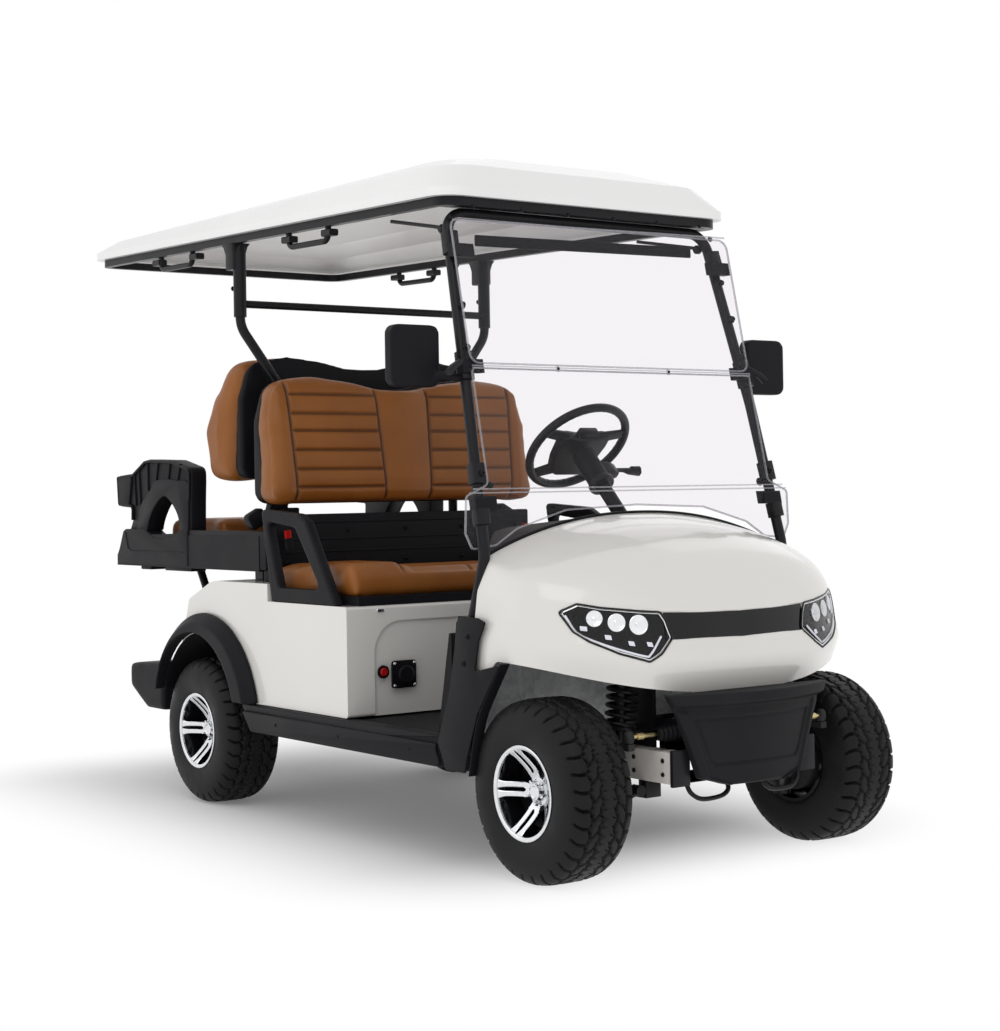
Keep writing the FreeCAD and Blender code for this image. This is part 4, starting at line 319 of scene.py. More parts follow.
for finish, names in (
        (blackSatin, ("chassis_frame", "front_suspension_arms", "front_shocks", "leaf_springs",
                      "front_struts", "roof_frame", "rear_struts", "deck_stays")),
        (galvanised, ("front_subframe", "front_bulkhead")),
        (castBlack, ("knuckle_left", "knuckle_right", "rear_axle")),
        (zinc, ("steering_rack",)),
        (matRubber, ("floor_pan",)),
        (blackGloss, ("light_bar",)),
        (bumperPlastic, ("front_bumper",)),
        (blackPlastic, ("rack_housing", "battery_pack", "rocker_panels", "pillar_covers",
                        "steering_column", "dashboard", "steering_wheel", "pedals",
                        "fender_flares", "wheel_liners", "charge_port", "hip_restraints",
                        "front_seat_board", "seat_back_shells", "rear_seat_panel", "rear_deck",
                        "rear_armrests", "rear_step", "windscreen_clips", "mirrors", "seat_belts")),
        (bodyPaint, ("front_cowl", "rear_body")),
        (roofWhite, ("roof_shell",)),
        (leather, ("front_seat_cushion", "front_seat_back", "rear_seat_back",
                   "rear_seat_cushion")),
        (paneClear, ("windscreen_upper", "windscreen_lower")),
        (lampClear, ("headlight_lenses",)),
        (redLens, ("tail_lights",)),
        (machined, tuple(n for n in nodes if n.startswith("rim_"))),
        (tyreRubber, tuple(n for n in nodes if n.startswith("tyre_")))):
    dress(finish, *names)
print("materials made")

# Shapes that the pieces share


def gridFaces(rows, columns, aroundRows=False, aroundColumns=False):
    # Four-sided faces between neighbours of a grid, as one array of corner numbers
    r = np.arange(rows if aroundRows else rows - 1)[:, None]
    c = np.arange(columns if aroundColumns else columns - 1)[None, :]
    nextRow, nextColumn = (r + 1) % rows, (c + 1) % columns
    corners = (r * columns + c, r * columns + nextColumn,
               nextRow * columns + nextColumn, nextRow * columns + c)
    return np.stack([np.broadcast_to(k, (len(r), c.shape[1])) for k in corners], -1).reshape(-1, 4)


def sheet(points, aroundRows=False, aroundColumns=False, caps=False, flip=False, paint=0):
    # One part of a piece: its points, faces and material number; caps close first and last rows
    rows, columns = points.shape[:2]
    faces = gridFaces(rows, columns, aroundRows, aroundColumns).tolist()
    if caps:
        faces.append(list(range(columns))[::-1])
        faces.append([(rows - 1) * columns + k for k in range(columns)])
    if flip:
        faces = [face[::-1] for face in faces]
    return points.reshape(-1, 3), faces, [paint] * len(faces)


def moved(part, shift=(0, 0, 0), turn=None):
    points, faces, paints = part
    if turn is not None:
        points = points @ np.asarray(turn).T
    return points + np.asarray(shift, float), faces, paints


def mirrored(part):
    # The same part on the cart's other side, turned so that it still faces outwards
    points, faces, paints = part
    return points * [-1, 1, 1], [face[::-1] for face in faces], paints


def bothSides(parts):
    return parts + [mirrored(part) for part in parts]


def piece(name, parts, materials, slot, body="root", replaces=(), smooth=40, outward=False):
    # Joins the parts into one mesh in metres and hands it to its body
    materials = materials if isinstance(materials, (list, tuple)) else [materials]
    offset, points, faces, paints = 0, [], [], []
    for partPoints, partFaces, partPaints in parts:
        points.append(partPoints)
        faces += [[k + offset for k in face] for face in partFaces]
        paints += partPaints
        offset += len(partPoints)
    cloud = np.concatenate(points) * mm
    cloud[:, 1] += axleY
    mesh = bpy.data.meshes.new(name)
    mesh.from_pydata(cloud.tolist(), [], faces)
    for material in materials:
        mesh.materials.append(material)
    mesh.polygons.foreach_set("material_index", paints)
    mesh.update()
    if outward:
        work = bmesh.new()
        work.from_mesh(mesh)
        bmesh.ops.recalc_face_normals(work, faces=work.faces)
        work.to_mesh(mesh)
        work.free()
    mesh.polygons.foreach_set("use_smooth", [True] * len(mesh.polygons))
    if smooth:
        mesh.set_sharp_from_angle(angle=math.radians(smooth))
    made = bpy.data.objects.new(name, mesh)
    scene.collection.objects.link(made)
    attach(made, body)
    if replaces:
        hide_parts(*replaces)
    return made


def trim(name, parts, materials, slot="black_plastic", **more):
    # A piece of closed parts, whose faces are all turned outwards
    piece(name, parts, materials, slot, **{"smooth": 35, "outward": True, **more})


def unit(vectors):
    return vectors / np.maximum(np.linalg.norm(vectors, axis=-1, keepdims=True), 1e-9)


def curveThrough(controls, count):
    # A smooth curve through the rows of an array (Catmull-Rom, ends doubled), resampled evenly
    controls = np.asarray(controls, float)
    padded = np.concatenate([2 * controls[:1] - controls[1:2], controls,
                             2 * controls[-1:] - controls[-2:-1]])
    u = np.linspace(0, len(controls) - 1, count)
    k = np.minimum(u.astype(int), len(controls) - 2)
    t = (u - k).reshape((-1,) + (1,) * (controls.ndim - 1))
    a, b, c, d = (padded[k + step] for step in range(4))
    return 0.5 * (2 * b + (c - a) * t + (2 * a - 5 * b + 4 * c - d) * t ** 2
                  + (3 * b - a - 3 * c + d) * t ** 3)


def roundedOutline(corners, radii, steps=6, closed=True):
    # Straight runs with each corner replaced by an arc, laid out as points along the outline
    corners = np.asarray(corners, float)
    radii = np.broadcast_to(radii, len(corners))
    out = []
    for k in range(len(corners)):
        here = corners[k]
        if not closed and k in (0, len(corners) - 1) or radii[k] <= 0:
            out.append(here[None])
            continue
        back = corners[k - 1] - here
        ahead = corners[(k + 1) % len(corners)] - here
        back, ahead = back / np.linalg.norm(back), ahead / np.linalg.norm(ahead)
        half = math.acos(np.clip(back @ ahead, -1, 1)) / 2
        reach = radii[k] / math.tan(half)
        centre = here + (back + ahead) / np.linalg.norm(back + ahead) * radii[k] / math.sin(half)
        start, end = here + back * reach - centre, here + ahead * reach - centre
        spread = math.pi - 2 * half
        t = np.linspace(0, 1, steps + 1)[:, None]
        out.append(centre + (start * np.sin((1 - t) * spread) + end * np.sin(t * spread))
                   / math.sin(spread))
    return np.concatenate(out)


def finerOutline(outline, steps):
    # Each run of a closed outline cut into equal steps
    run = (np.roll(outline, -1, 0) - outline)[:, None] * np.linspace(0, 1, steps + 1)[None, :-1, None]
    return (outline[:, None] + run).reshape(-1, 2)


def insetOutline(outline, inset):
    # Moves each point of a closed flat outline inwards, square to its neighbours
    along = unit(np.roll(outline, -1, 0) - np.roll(outline, 1, 0))
    area = np.sum(outline[:, 0] * np.roll(outline[:, 1], -1) - outline[:, 1] * np.roll(outline[:, 0], -1))
    inward = np.stack([-along[:, 1], along[:, 0]], 1) * np.sign(area)
    return outline + inward * inset


def plate(outline, low, high, edge, axes, steps=3, paint=0):
    # A flat outline given thickness; its edges are rounded by quarter circles of the edge radius
    turnStep = np.linspace(0, math.pi / 2, steps + 1)
    insets = np.concatenate([edge * (1 - np.sin(turnStep)), edge * (1 - np.cos(turnStep))])
    depths = np.concatenate([low + edge * (1 - np.cos(turnStep)), high - edge * (1 - np.sin(turnStep))])
    rows = np.stack([insetOutline(outline, inset) for inset in insets])
    cloud = np.zeros(rows.shape[:2] + (3,))
    cloud[..., axes[0]] = rows[..., 0]
    cloud[..., axes[1]] = rows[..., 1]
    cloud[..., axes[2]] = depths[:, None]
    return sheet(cloud, aroundColumns=True, caps=True, paint=paint)


def frames(path, up):
    # Unit side and normal vectors along a path, from its direction and one upward hint
    ahead = unit(np.gradient(path, axis=0))
    side = unit(np.cross(ahead, np.asarray(up, float)))
    return side, np.cross(side, ahead)


def sweep(path, section, up=(0, 0, 1), sizes=None, caps=True, paint=0):
    # A closed flat section carried along a path, optionally growing or shrinking
    side, normal = frames(path, up)
    sizes = np.ones(len(path)) if sizes is None else sizes
    cloud = (path[:, None] + side[:, None] * section[None, :, :1] * sizes[:, None, None]
             + normal[:, None] * section[None, :, 1:] * sizes[:, None, None])
    return sheet(cloud, aroundColumns=True, caps=caps, paint=paint)


def closedBar(points, section, up, paint=0):
    # The same round a closed path, whose last point joins its first
    ahead = unit(np.roll(points, -1, 0) - np.roll(points, 1, 0))
    side = unit(np.cross(ahead, up))
    cloud = (points[:, None] + side[:, None] * section[None, :, :1]
             + np.cross(side, ahead)[:, None] * section[None, :, 1:])
    return sheet(cloud, aroundRows=True, aroundColumns=True, paint=paint)


def circle(radius, count=16):
    angle = np.linspace(0, 2 * math.pi, count, endpoint=False)
    return np.stack([radius * np.cos(angle), radius * np.sin(angle)], 1)


def roundedBar(wide, high, corner, steps=4):
    return roundedOutline([(-wide / 2, -high / 2), (wide / 2, -high / 2),
                           (wide / 2, high / 2), (-wide / 2, high / 2)], corner, steps)


def bar(path, wide, high, corner, steps, up=(0, 0, 1), **more):
    return sweep(np.asarray(path, float), roundedBar(wide, high, corner, steps), up, **more)


def rectangle(left, low, right, high):
    return [(left, low), (right, low), (right, high), (left, high)]


def sidePlate(corners, radii, steps, low, high, edge, paint=0):
    # A rounded plate drawn as seen from the side, and below the same as seen from the front
    return plate(roundedOutline(corners, radii, steps), low, high, edge, (1, 2, 0), paint=paint)


def frontPlate(corners, radii, steps, low, high, edge, paint=0):
    return plate(roundedOutline(corners, radii, steps), low, high, edge, (0, 2, 1), paint=paint)


def flatPath(points, x):
    # A side-view path laid at one distance from the middle
    points = np.asarray(points, float)
    return np.column_stack([np.full(len(points), float(x)), points])


def lathe(profile, count, axis="x", centre=(0, 0, 0), paint=0):
    # A profile of (place along the axis, radius) turned once round it
    profile = np.asarray(profile, float)
    angle = np.linspace(0, 2 * math.pi, count, endpoint=False)
    along = np.broadcast_to(profile[:, :1], (len(profile), count))
    first = profile[:, 1:] * np.cos(angle)
    second = profile[:, 1:] * np.sin(angle)
    order = {"x": (along, first, second), "y": (second, along, first), "z": (first, second, along)}
    return sheet(np.stack(order[axis], -1) + np.asarray(centre, float), aroundColumns=True,
                 caps=True, flip=True, paint=paint)


def screwHead(place, normal, radius, height, paint=0):
    # A domed head with a shallow round socket, standing on a surface
    normal = unit(np.asarray(normal, float))
    side = unit(np.cross(normal, (0, 0, 1) if abs(normal[2]) < 0.9 else (1, 0, 0)))
    profile = np.array([(0, 1), (0.5, 0.98), (0.85, 0.8), (1, 0.5), (0.55, 0.42), (0.5, 0.0)])
    angle = np.linspace(0, 2 * math.pi, 12, endpoint=False)
    ringWide = (np.cos(angle)[:, None] * side + np.sin(angle)[:, None] * np.cross(normal, side))
    cloud = (np.asarray(place, float) + profile[:, None, :1] * height * normal
             + profile[:, None, 1:] * radius * ringWide)
    return sheet(cloud, aroundColumns=True, paint=paint)


# Wheels

tyreSet = dict(
    radius=228, halfWide=96, pitches=32, stepsInPitch=16, grooveDepth=8, grooveWide=4.8,
    ribPlace=23, ribZigzag=4.5, shoulderPlace=52, shoulderZigzag=3.5, slotWide=3.6, slant=0.022,
    lugStart=0.35, lugBow=0.10, lugTurn=0.085, lugWide=4.2, sipeWide=2.0, sipeShare=0.6,
    grooveFoot=196.5, grooveFade=8)
tyreProfile = [(-86, 113.6), (-91, 122), (-94.5, 140), (-95.4, 163), (-92.5, 185), (-86, 204),
               (-76, 217), (-63, 224), (-45, 227), (-22, 228), (0, 228)]


def tyreSurface(p):
    # Half profile through a smooth curve, mirrored; grooves sink the points towards the axle
    half = curveThrough(tyreProfile, 44)
    profile = np.concatenate([half, half[-2::-1] * [-1, 1]])
    w, r = profile[:, 0], profile[:, 1]
    arc = np.concatenate([[0], np.cumsum(np.hypot(np.diff(w), np.diff(r)))])
    arc -= arc[-1] / 2
    count = p["pitches"] * p["stepsInPitch"]
    turn = np.arange(count) / count
    pitch = (turn * p["pitches"])[:, None]
    lateral = arc[None, :]
    side = np.sign(lateral)
    away = np.abs(lateral)
    shifted = pitch + 0.5 * (side > 0)
    wave = np.abs((shifted % 1) - 0.5) * 4 - 1

    def notch(distance, wide):
        return np.clip(1.6 - np.abs(distance) / wide * 1.6, 0, 1)

    cut = notch(away - p["ribPlace"] - wave * p["ribZigzag"], p["grooveWide"])
    shoulder = away - p["shoulderPlace"]
    cut = np.maximum(cut, notch(shoulder - wave * p["shoulderZigzag"], p["grooveWide"]))
    mid = (away > p["ribPlace"]) & (away < p["shoulderPlace"])
    slant = (shifted + away * p["slant"]) % 1 - 0.5
    arcMm = 2 * math.pi * p["radius"] / p["pitches"]
    cut = np.maximum(cut, notch(slant * arcMm, p["slotWide"]) * mid)
    bowed = (shifted + p["lugStart"] + p["lugBow"] * np.sin(shoulder * p["lugTurn"])) % 1 - 0.5
    cut = np.maximum(cut, notch(bowed * arcMm, p["lugWide"]) * (shoulder > 0))
    sipe = (shifted * 2 + 0.2 + away * 0.01) % 1 - 0.5
    rib = (away < p["ribPlace"] - 4) & (away > 8)
    cut = np.maximum(cut, p["sipeShare"] * notch(sipe * arcMm / 2, p["sipeWide"]) * rib)
    depth = p["grooveDepth"] * cut * np.clip((r[None, :] - p["grooveFoot"]) / p["grooveFade"], 0, 1)
    normalX = np.gradient(r)[None, :]
    normalR = -np.gradient(w)[None, :]
    size = np.hypot(normalX, normalR)
    x = w[None, :] + depth * normalX / size * np.sign(normalR.mean()) * -1
    radius = r[None, :] - depth * np.abs(normalR / size)
    x = np.clip(x, -p["halfWide"], p["halfWide"])
    angle = 2 * math.pi * turn[:, None]
    return np.stack([x + 0 * angle, radius * np.cos(angle), radius * np.sin(angle)], -1)


def tyreParts(p):
    outside = tyreSurface(p)
    rows, columns = outside.shape[:2]
    angle = 2 * math.pi * np.arange(rows) / rows
    bead = np.stack([np.stack([np.full(rows, x), r * np.cos(angle), r * np.sin(angle)], -1)
                     for x, r in ((86, 113.6), (80, 113.1), (-80, 113.1), (-86, 113.6))], 1)
    return [sheet(outside, aroundRows=True), sheet(bead, aroundRows=True)]


rimSet = dict(
    ringInner=105, ringOuter=112.4, ringFace=92.5, hubFace=40, hubRadius=31, barWide=13.5,
    slotWide=10.5, slotEnd=50, barDepth=13, dishPower=1.5, pairs=5)


def dishAt(radius, p):
    # Height of the spokes' face: level with the ring outside, falling to the hub
    share = np.clip((radius - p["hubRadius"]) / (p["ringInner"] - p["hubRadius"]), 0, 1)
    return p["hubFace"] + (p["ringFace"] - 3 - p["hubFace"]) * share ** p["dishPower"]


def barPart(side, p):
    # One spoke of a pair: a chamfered bar that follows the dish and flares into the ring
    radial = np.linspace(p["slotEnd"] - 4, p["ringInner"] + 4, 16)
    share = (radial - radial[0]) / (radial[-1] - radial[0])
    flare = 7.0 * np.clip((share - 0.72) / 0.28, 0, 1) ** 1.6
    inner = np.full_like(radial, p["slotWide"] / 2) - flare * 0.55
    outer = p["slotWide"] / 2 + p["barWide"] + flare
    face = dishAt(radial, p)
    chamfer = 1.6
    section = [(inner, -p["barDepth"]), (inner, -chamfer), (inner + chamfer, 0 * radial),
               (outer - chamfer, 0 * radial), (outer, -chamfer), (outer, -p["barDepth"])]
    cloud = np.stack([np.stack([face + (drop if np.ndim(drop) else np.full_like(radial, drop)),
                                radial, side * across], -1) for across, drop in section], 1)
    points, faces, _ = sheet(cloud, aroundColumns=True, flip=side < 0)
    columns = len(section)
    return points, faces, [0 if k % columns in (1, 2, 3) else 1 for k in range(len(faces))]


def webPart(p):
    # The joined foot of a pair, from the hub to the slot's rounded end
    across = np.linspace(-1, 1, 15)
    wide = p["slotWide"] / 2 + p["barWide"]
    share = np.linspace(0, 1, 7)[:, None]
    y = across[None, :] * (wide - 5 * (1 - share))
    notch = np.sqrt(np.clip(1 - (y[-1] / (p["slotWide"] / 2)) ** 2, 0, 1)) * p["slotWide"] / 2
    end = p["slotEnd"] + 2 - notch
    radial = (p["hubRadius"] - 6) * (1 - share) + end[None, :] * share
    face = dishAt(radial, p) - 0.15
    top = np.stack([face, radial, y], -1)
    bottom = top - [p["barDepth"], 0, 0]
    points, faces, _ = sheet(np.concatenate([bottom[:, :1], top, bottom[:, -1:]], 1))
    wall = sheet(np.stack([top[-1], bottom[-1]], 0), flip=True, paint=1)
    return [(points, faces, [0] * len(faces)), wall]


def rimParts(p):
    ring = [(86, 106), (90.5, 106.6), (92, 108.5), (93.4, 113), (93.6, 115.6), (92.4, 117.4),
            (88.4, 117.6)]
    barrel = [(88.4, 112.6), (60, 112.4), (-84, 112.4), (-88.5, 117.6), (-92, 117.4),
              (-92, 108), (-80, 104), (10, 100), (60, 102), (86, 106)]
    parts = [lathe(ring, 120), lathe(barrel, 96, paint=1)]
    parts = [(points, faces[:-2], paints[:-2]) for points, faces, paints in parts]
    nut = [(40, 0)] + [(p["hubFace"] + out, radius) for out, radius in (
        (6, 5.6), (11, 5.4), (14, 3.6), (14.6, 0))]
    for k in range(p["pairs"]):
        a = 2 * math.pi * (k + 0.5) / p["pairs"]
        turn = np.array([[1, 0, 0], [0, math.cos(a), -math.sin(a)], [0, math.sin(a), math.cos(a)]])
        for part in [barPart(1, p), barPart(-1, p)] + webPart(p):
            parts.append(moved(part, turn=turn))
        b = a + 0.32
        parts.append(moved(lathe(nut, 6, paint=2), (0, 29 * math.cos(b), 29 * math.sin(b))))
    hub = [(20, 0), (20, 36), (p["hubFace"] - 2, 37), (p["hubFace"] + 1, 35), (p["hubFace"] + 1, 24.5),
           (p["hubFace"] + 8, 23.5), (p["hubFace"] + 15, 20), (p["hubFace"] + 16, 16),
           (p["hubFace"] + 14, 13), (p["hubFace"] + 14, 0)]
    parts.append(lathe(hub, 48))
    back = [(-10, 0), (-10, 40), (24, 46), (26, 60), (28, 92), (29, 92), (27, 60), (26, 34), (26, 0)]
    parts.append(lathe(back, 48, paint=1))
    return parts


wheelPlaces = dict(front=(454.5, 0), rear=(463, 1700), high=228)  # from the middle, and rearwards


def makeWheels(p):
    facing = {1: np.eye(3), -1: np.diag([-1, -1, 1])}
    tyreBase, rimBase = tyreParts(tyreSet), rimParts(rimSet)
    for end in ("front", "rear"):
        for hand, side in (("left", 1), ("right", -1)):
            corner = end + "_" + hand
            shift = (side * p[end][0], p[end][1], p["high"])
            tyre, rim = ([moved(part, shift, facing[side]) for part in base] for base in (tyreBase, rimBase))
            piece("tread_" + corner, tyre, tyreRubber, "tyre", "wheel_" + corner, ["tyre_" + corner],
                  smooth=32)
            piece("alloy_" + corner, rim, [machined, blackGloss, chrome], "alloy", "wheel_" + corner,
                  ["rim_" + corner], smooth=28)


makeWheels(wheelPlaces)
print("wheels made")

# Cowl: a bowed hood whose lamps and band lie in a shallow recess

cowlSet = dict(
    half=550, rear=184, depth=416, foot=456, height=445, bow=2.5, drop=2.2, rows=120, columns=261,
    recess=7, ease=3, wall=4, apron=30, lipHigh=7, lipDeep=16)
# Depth, height, height at the sides and width from the foot to the lip, as shares
cowlShares = [(0.935, 0, 0.2, 0.995), (1, 0.17, 0.3, 1), (0.945, 0.315, 0.395, 1),
              (0.918, 0.463, 0.49, 0.99), (0.85, 0.605, 0.58, 0.98), (0.68, 0.775, 0.655, 0.965),
              (0.39, 0.915, 0.715, 0.95), (0, 1, 0.766, 0.935)]
cowlTable = curveThrough(cowlShares, 400)
lampOutline = np.array([
    (470, 669), (433, 688), (388, 678), (297, 667), (247, 663), (234, 642), (221, 598), (263, 562),
    (296, 544), (365, 566), (422, 596), (449, 621)], float)
bandOutline = np.array([(-238, 595), (0, 591), (238, 595), (244, 663), (0, 656), (-244, 663)], float)


def cowlPoints(share, across, p):
    # across is -1 to 1 of the half width; the plan is a power curve and the height drops sideways
    depth, height, side, wide = (
        np.interp(share, np.linspace(0, 1, len(cowlTable)), column) for column in cowlTable.T)
    reach = np.abs(across)
    bulge = np.clip(1 - reach ** p["bow"], 0, 1) ** (1 / p["bow"])
    return np.stack([
        p["half"] * wide * across, p["rear"] - p["depth"] * depth * bulge,
        p["foot"] + p["height"] * (height - (height - side) * reach ** p["drop"])], -1)


def cowlHug(x, z, lift, p):
    # The hood's point at each front-view place, found by halving, then lifted along its normal
    low, high = np.zeros_like(x), np.ones_like(x)
    steps = np.linspace(0, 1, len(cowlTable))
    for _ in range(26):
        share = (low + high) / 2
        across = np.clip(x / (p["half"] * np.interp(share, steps, cowlTable[:, 3])), -0.999, 0.999)
        below = cowlPoints(share, across, p)[..., 2] < z
        low, high = np.where(below, share, low), np.where(below, high, share)
    up = cowlPoints(share + 0.01, across, p) - cowlPoints(share - 0.01, across, p)
    aside = cowlPoints(share, across + 0.004, p) - cowlPoints(share, across - 0.004, p)
    return cowlPoints(share, across, p) + unit(np.cross(aside, up)) * np.asarray(lift, float)[..., None]


def insideBy(x, z, outline):
    # How far a place lies inside a closed outline; it is below 0 outside
    start = np.asarray(outline, float)
    end = np.roll(start, -1, 0)
    place = np.stack([x, z], -1)[..., None, :]
    run = end - start
    t = np.clip(np.sum((place - start) * run, -1) / np.sum(run * run, -1), 0, 1)
    gap = np.linalg.norm(place - start - run * t[..., None], axis=-1).min(-1)
    crosses = (start[:, 1] > place[..., 1]) != (end[:, 1] > place[..., 1])
    rise = np.where(np.abs(run[:, 1]) < 1e-9, 1e-9, run[:, 1])
    at = start[:, 0] + (place[..., 1] - start[:, 1]) / rise * run[:, 0]
    return np.where(np.sum(crosses & (place[..., 0] < at), -1) % 2 == 1, gap, -gap)


def gridNormals(points):
    return unit(np.cross(np.gradient(points, axis=1), np.gradient(points, axis=0)))


def shell(points, wall):
    # A grid given thickness along its normals, with its four borders closed
    inner = points - gridNormals(points) * wall
    borders = [np.stack(pair) for pair in (
        (inner[0], points[0]), (points[-1], inner[-1]),
        (points[:, 0], inner[:, 0]), (inner[:, -1], points[:, -1]))]
    return [sheet(points), sheet(inner, flip=True)] + [sheet(border) for border in borders]


def makeHood(p):
    share = np.linspace(0, 1, p["rows"])[:, None]
    across = np.sin(np.linspace(-math.pi / 2, math.pi / 2, p["columns"]))[None, :]
    points = cowlPoints(share + 0 * across, across + 0 * share, p)
    x, z = points[..., 0], points[..., 2]
    front = points[..., 1] < 60
    inside = np.maximum(insideBy(np.abs(x), z, lampOutline), insideBy(x, z, bandOutline))
    sunk = np.clip(inside / p["ease"], 0, 1) * front * p["recess"]
    sunk = sunk * sunk * (3 - 2 * sunk / p["recess"]) / p["recess"]
    points = points - gridNormals(points) * sunk[..., None]
    apron = np.clip((points[..., 1] - 96) / 40, 0, 1)
    points[..., 2] -= p["apron"] * apron * apron * (3 - 2 * apron) * np.clip(1 - share * 4, 0, 1)
    piece("hood", shell(points, p["wall"]), bodyPaint, "body_white", replaces=["front_cowl"],
          smooth=50)
    lip = cowlPoints(np.ones(121), np.linspace(-1, 1, 121), p) + [0, 6, -1]
    piece("hoodLip", [sweep(lip, roundedBar(p["lipDeep"], p["lipHigh"], 2.5, 3), up=(0, 1, 0.2))],
          blackPlastic, "black_plastic")


def patch(outline, lift, rows=7, crown=0.0, paint=0, p=cowlSet):
    # A closed outline filled by shrinking copies of itself, laid on the hood
    share = np.linspace(1, 0.03, rows)[:, None, None]
    middle = outline.mean(0)
    flat = middle + (outline - middle) * share
    lifts = lift + crown * (1 - share[..., 0] ** 2) + 0 * flat[..., 0]
    points = cowlHug(flat[..., 0], flat[..., 1], lifts, p)
    cloud, faces, paints = sheet(points, aroundColumns=True, paint=paint)
    faces.append([(rows - 1) * len(outline) + k for k in range(len(outline))][::-1])
    return cloud, faces, paints + [paint]


def bead(path, lift, section, closed=True, paint=0, p=cowlSet):
    # A thin bar that follows a front-view path on the hood
    points = cowlHug(path[:, 0], path[:, 1], lift + 0 * path[:, 0], p)
    return (closedBar if closed else sweep)(points, section, up=(0, -1, 0.3), paint=paint)


lampSet = dict(
    edgeInset=7, floorLift=-5.6, lensLift=-0.6, lensCrown=1.2, stripLift=-2.6,
    strip=[(459, 661), (448, 630), (436, 613), (401, 593), (352, 573), (303, 558), (292, 562),
           (270, 583), (250, 604)],
    bowls=((404, 652, 19), (357, 641, 21), (305, 634, 23)), bowlLift=-3.4,
    squares=((428, 628), (380, 606), (330, 590), (285, 586)),
    bandHalf=236, bandLow=(595.5, 3.5), bandHigh=(661.5, 5.5), bandLift=-2.5)


def makeLamps(p, cowl):
    dense = finerOutline(roundedOutline(lampOutline, 9, 4), 4)
    left = [patch(dense, p["floorLift"]), bead(dense, 0.2, circle(2.4, 8)),
            bead(insetOutline(dense, 4.5), -1.5, circle(1.6, 8), paint=1),
            bead(curveThrough(p["strip"], 60), p["stripLift"], roundedBar(5.5, 3, 1.2, 2),
                 closed=False, paint=2)]
    for x, z, size in p["bowls"]:
        # Each bowl faces along the hood's normal where it sits
        seat, beside, above = cowlHug(np.array([x, x + 5.0, x]), np.array([z, z, z + 5.0]),
                                      p["bowlLift"], cowl)
        across = unit(beside - seat)
        inward = unit(np.cross(above - seat, across))
        spun = np.column_stack([across, inward, np.cross(across, inward)])
        bowl = [(1.4, 0), (1.2, size * 0.35), (0.2, size * 0.7), (-1.4, size * 0.92), (-2.4, size),
                (-1.6, size * 1.06), (2.1, size * 1.06)]
        core = [(-2.2, 0), (-1.8, size * 0.2), (-0.4, size * 0.3), (2, size * 0.3)]
        left += [moved(lathe(bowl, 28, "y", paint=3), seat, spun),
                 moved(lathe(core, 16, "y", paint=1), seat, spun)]
    for x, z in p["squares"]:
        shape = [(x - 7, z - 6), (x + 7, z - 4), (x + 7, z + 7), (x - 7, z + 5)]
        left.append(patch(roundedOutline(shape, 1.2, 2), -2.4, 3, 0.6, paint=2))
    trim("lampInsides", bothSides(left), [blackGloss, chrome, lampWhite, reflector], "black_gloss")
    lens = patch(insetOutline(dense, p["edgeInset"]), p["lensLift"], 8, p["lensCrown"])
    trim("lampLenses", bothSides([lens]), lampClear, "lamp_lens", replaces=["headlight_lenses"], smooth=60)
    x = np.linspace(-p["bandHalf"], p["bandHalf"], 60)[None, :]
    t = np.linspace(0, 1, 9)[:, None]
    low, high = (edge - bow * (1 - (x / p["bandHalf"]) ** 2) for edge, bow in (p["bandLow"], p["bandHigh"]))
    band = cowlHug(x + 0 * t, low + (high - low) * t, p["bandLift"] + 0 * x * t, cowl)
    piece("lampBand", shell(band, 2), blackGloss, "black_gloss", replaces=["light_bar"])


makeHood(cowlSet)
makeLamps(lampSet, cowlSet)
print("hood and lamps made")

# Bumper: every level is one closed plan outline, bowed in front and nearly straight at its ends

bumperSet = dict(
    rear=-214, front=-296, bow=60, bowHalf=272, corner=9, brow=26, browLow=424, browHigh=440,
    lean=8, inset=3, insetRise=4, groove=5, grooveWide=3.2, frame=7, frameTop=428, frameFade=14,
    frameFrom=0.86, frameRise=0.05, roundHigh=6, roundDeep=5, rows=130, columns=231)
# Height and half width of the outline
bumperHalves = [(231, 96), (236, 112), (252, 172), (266, 178), (320, 199), (374, 221), (420, 243),
                (448, 262), (458, 270), (463, 268)]
bumperPanel = np.array([(-188, 398), (-150, 300), (-137, 284), (137, 284), (150, 300), (188, 398)], float)


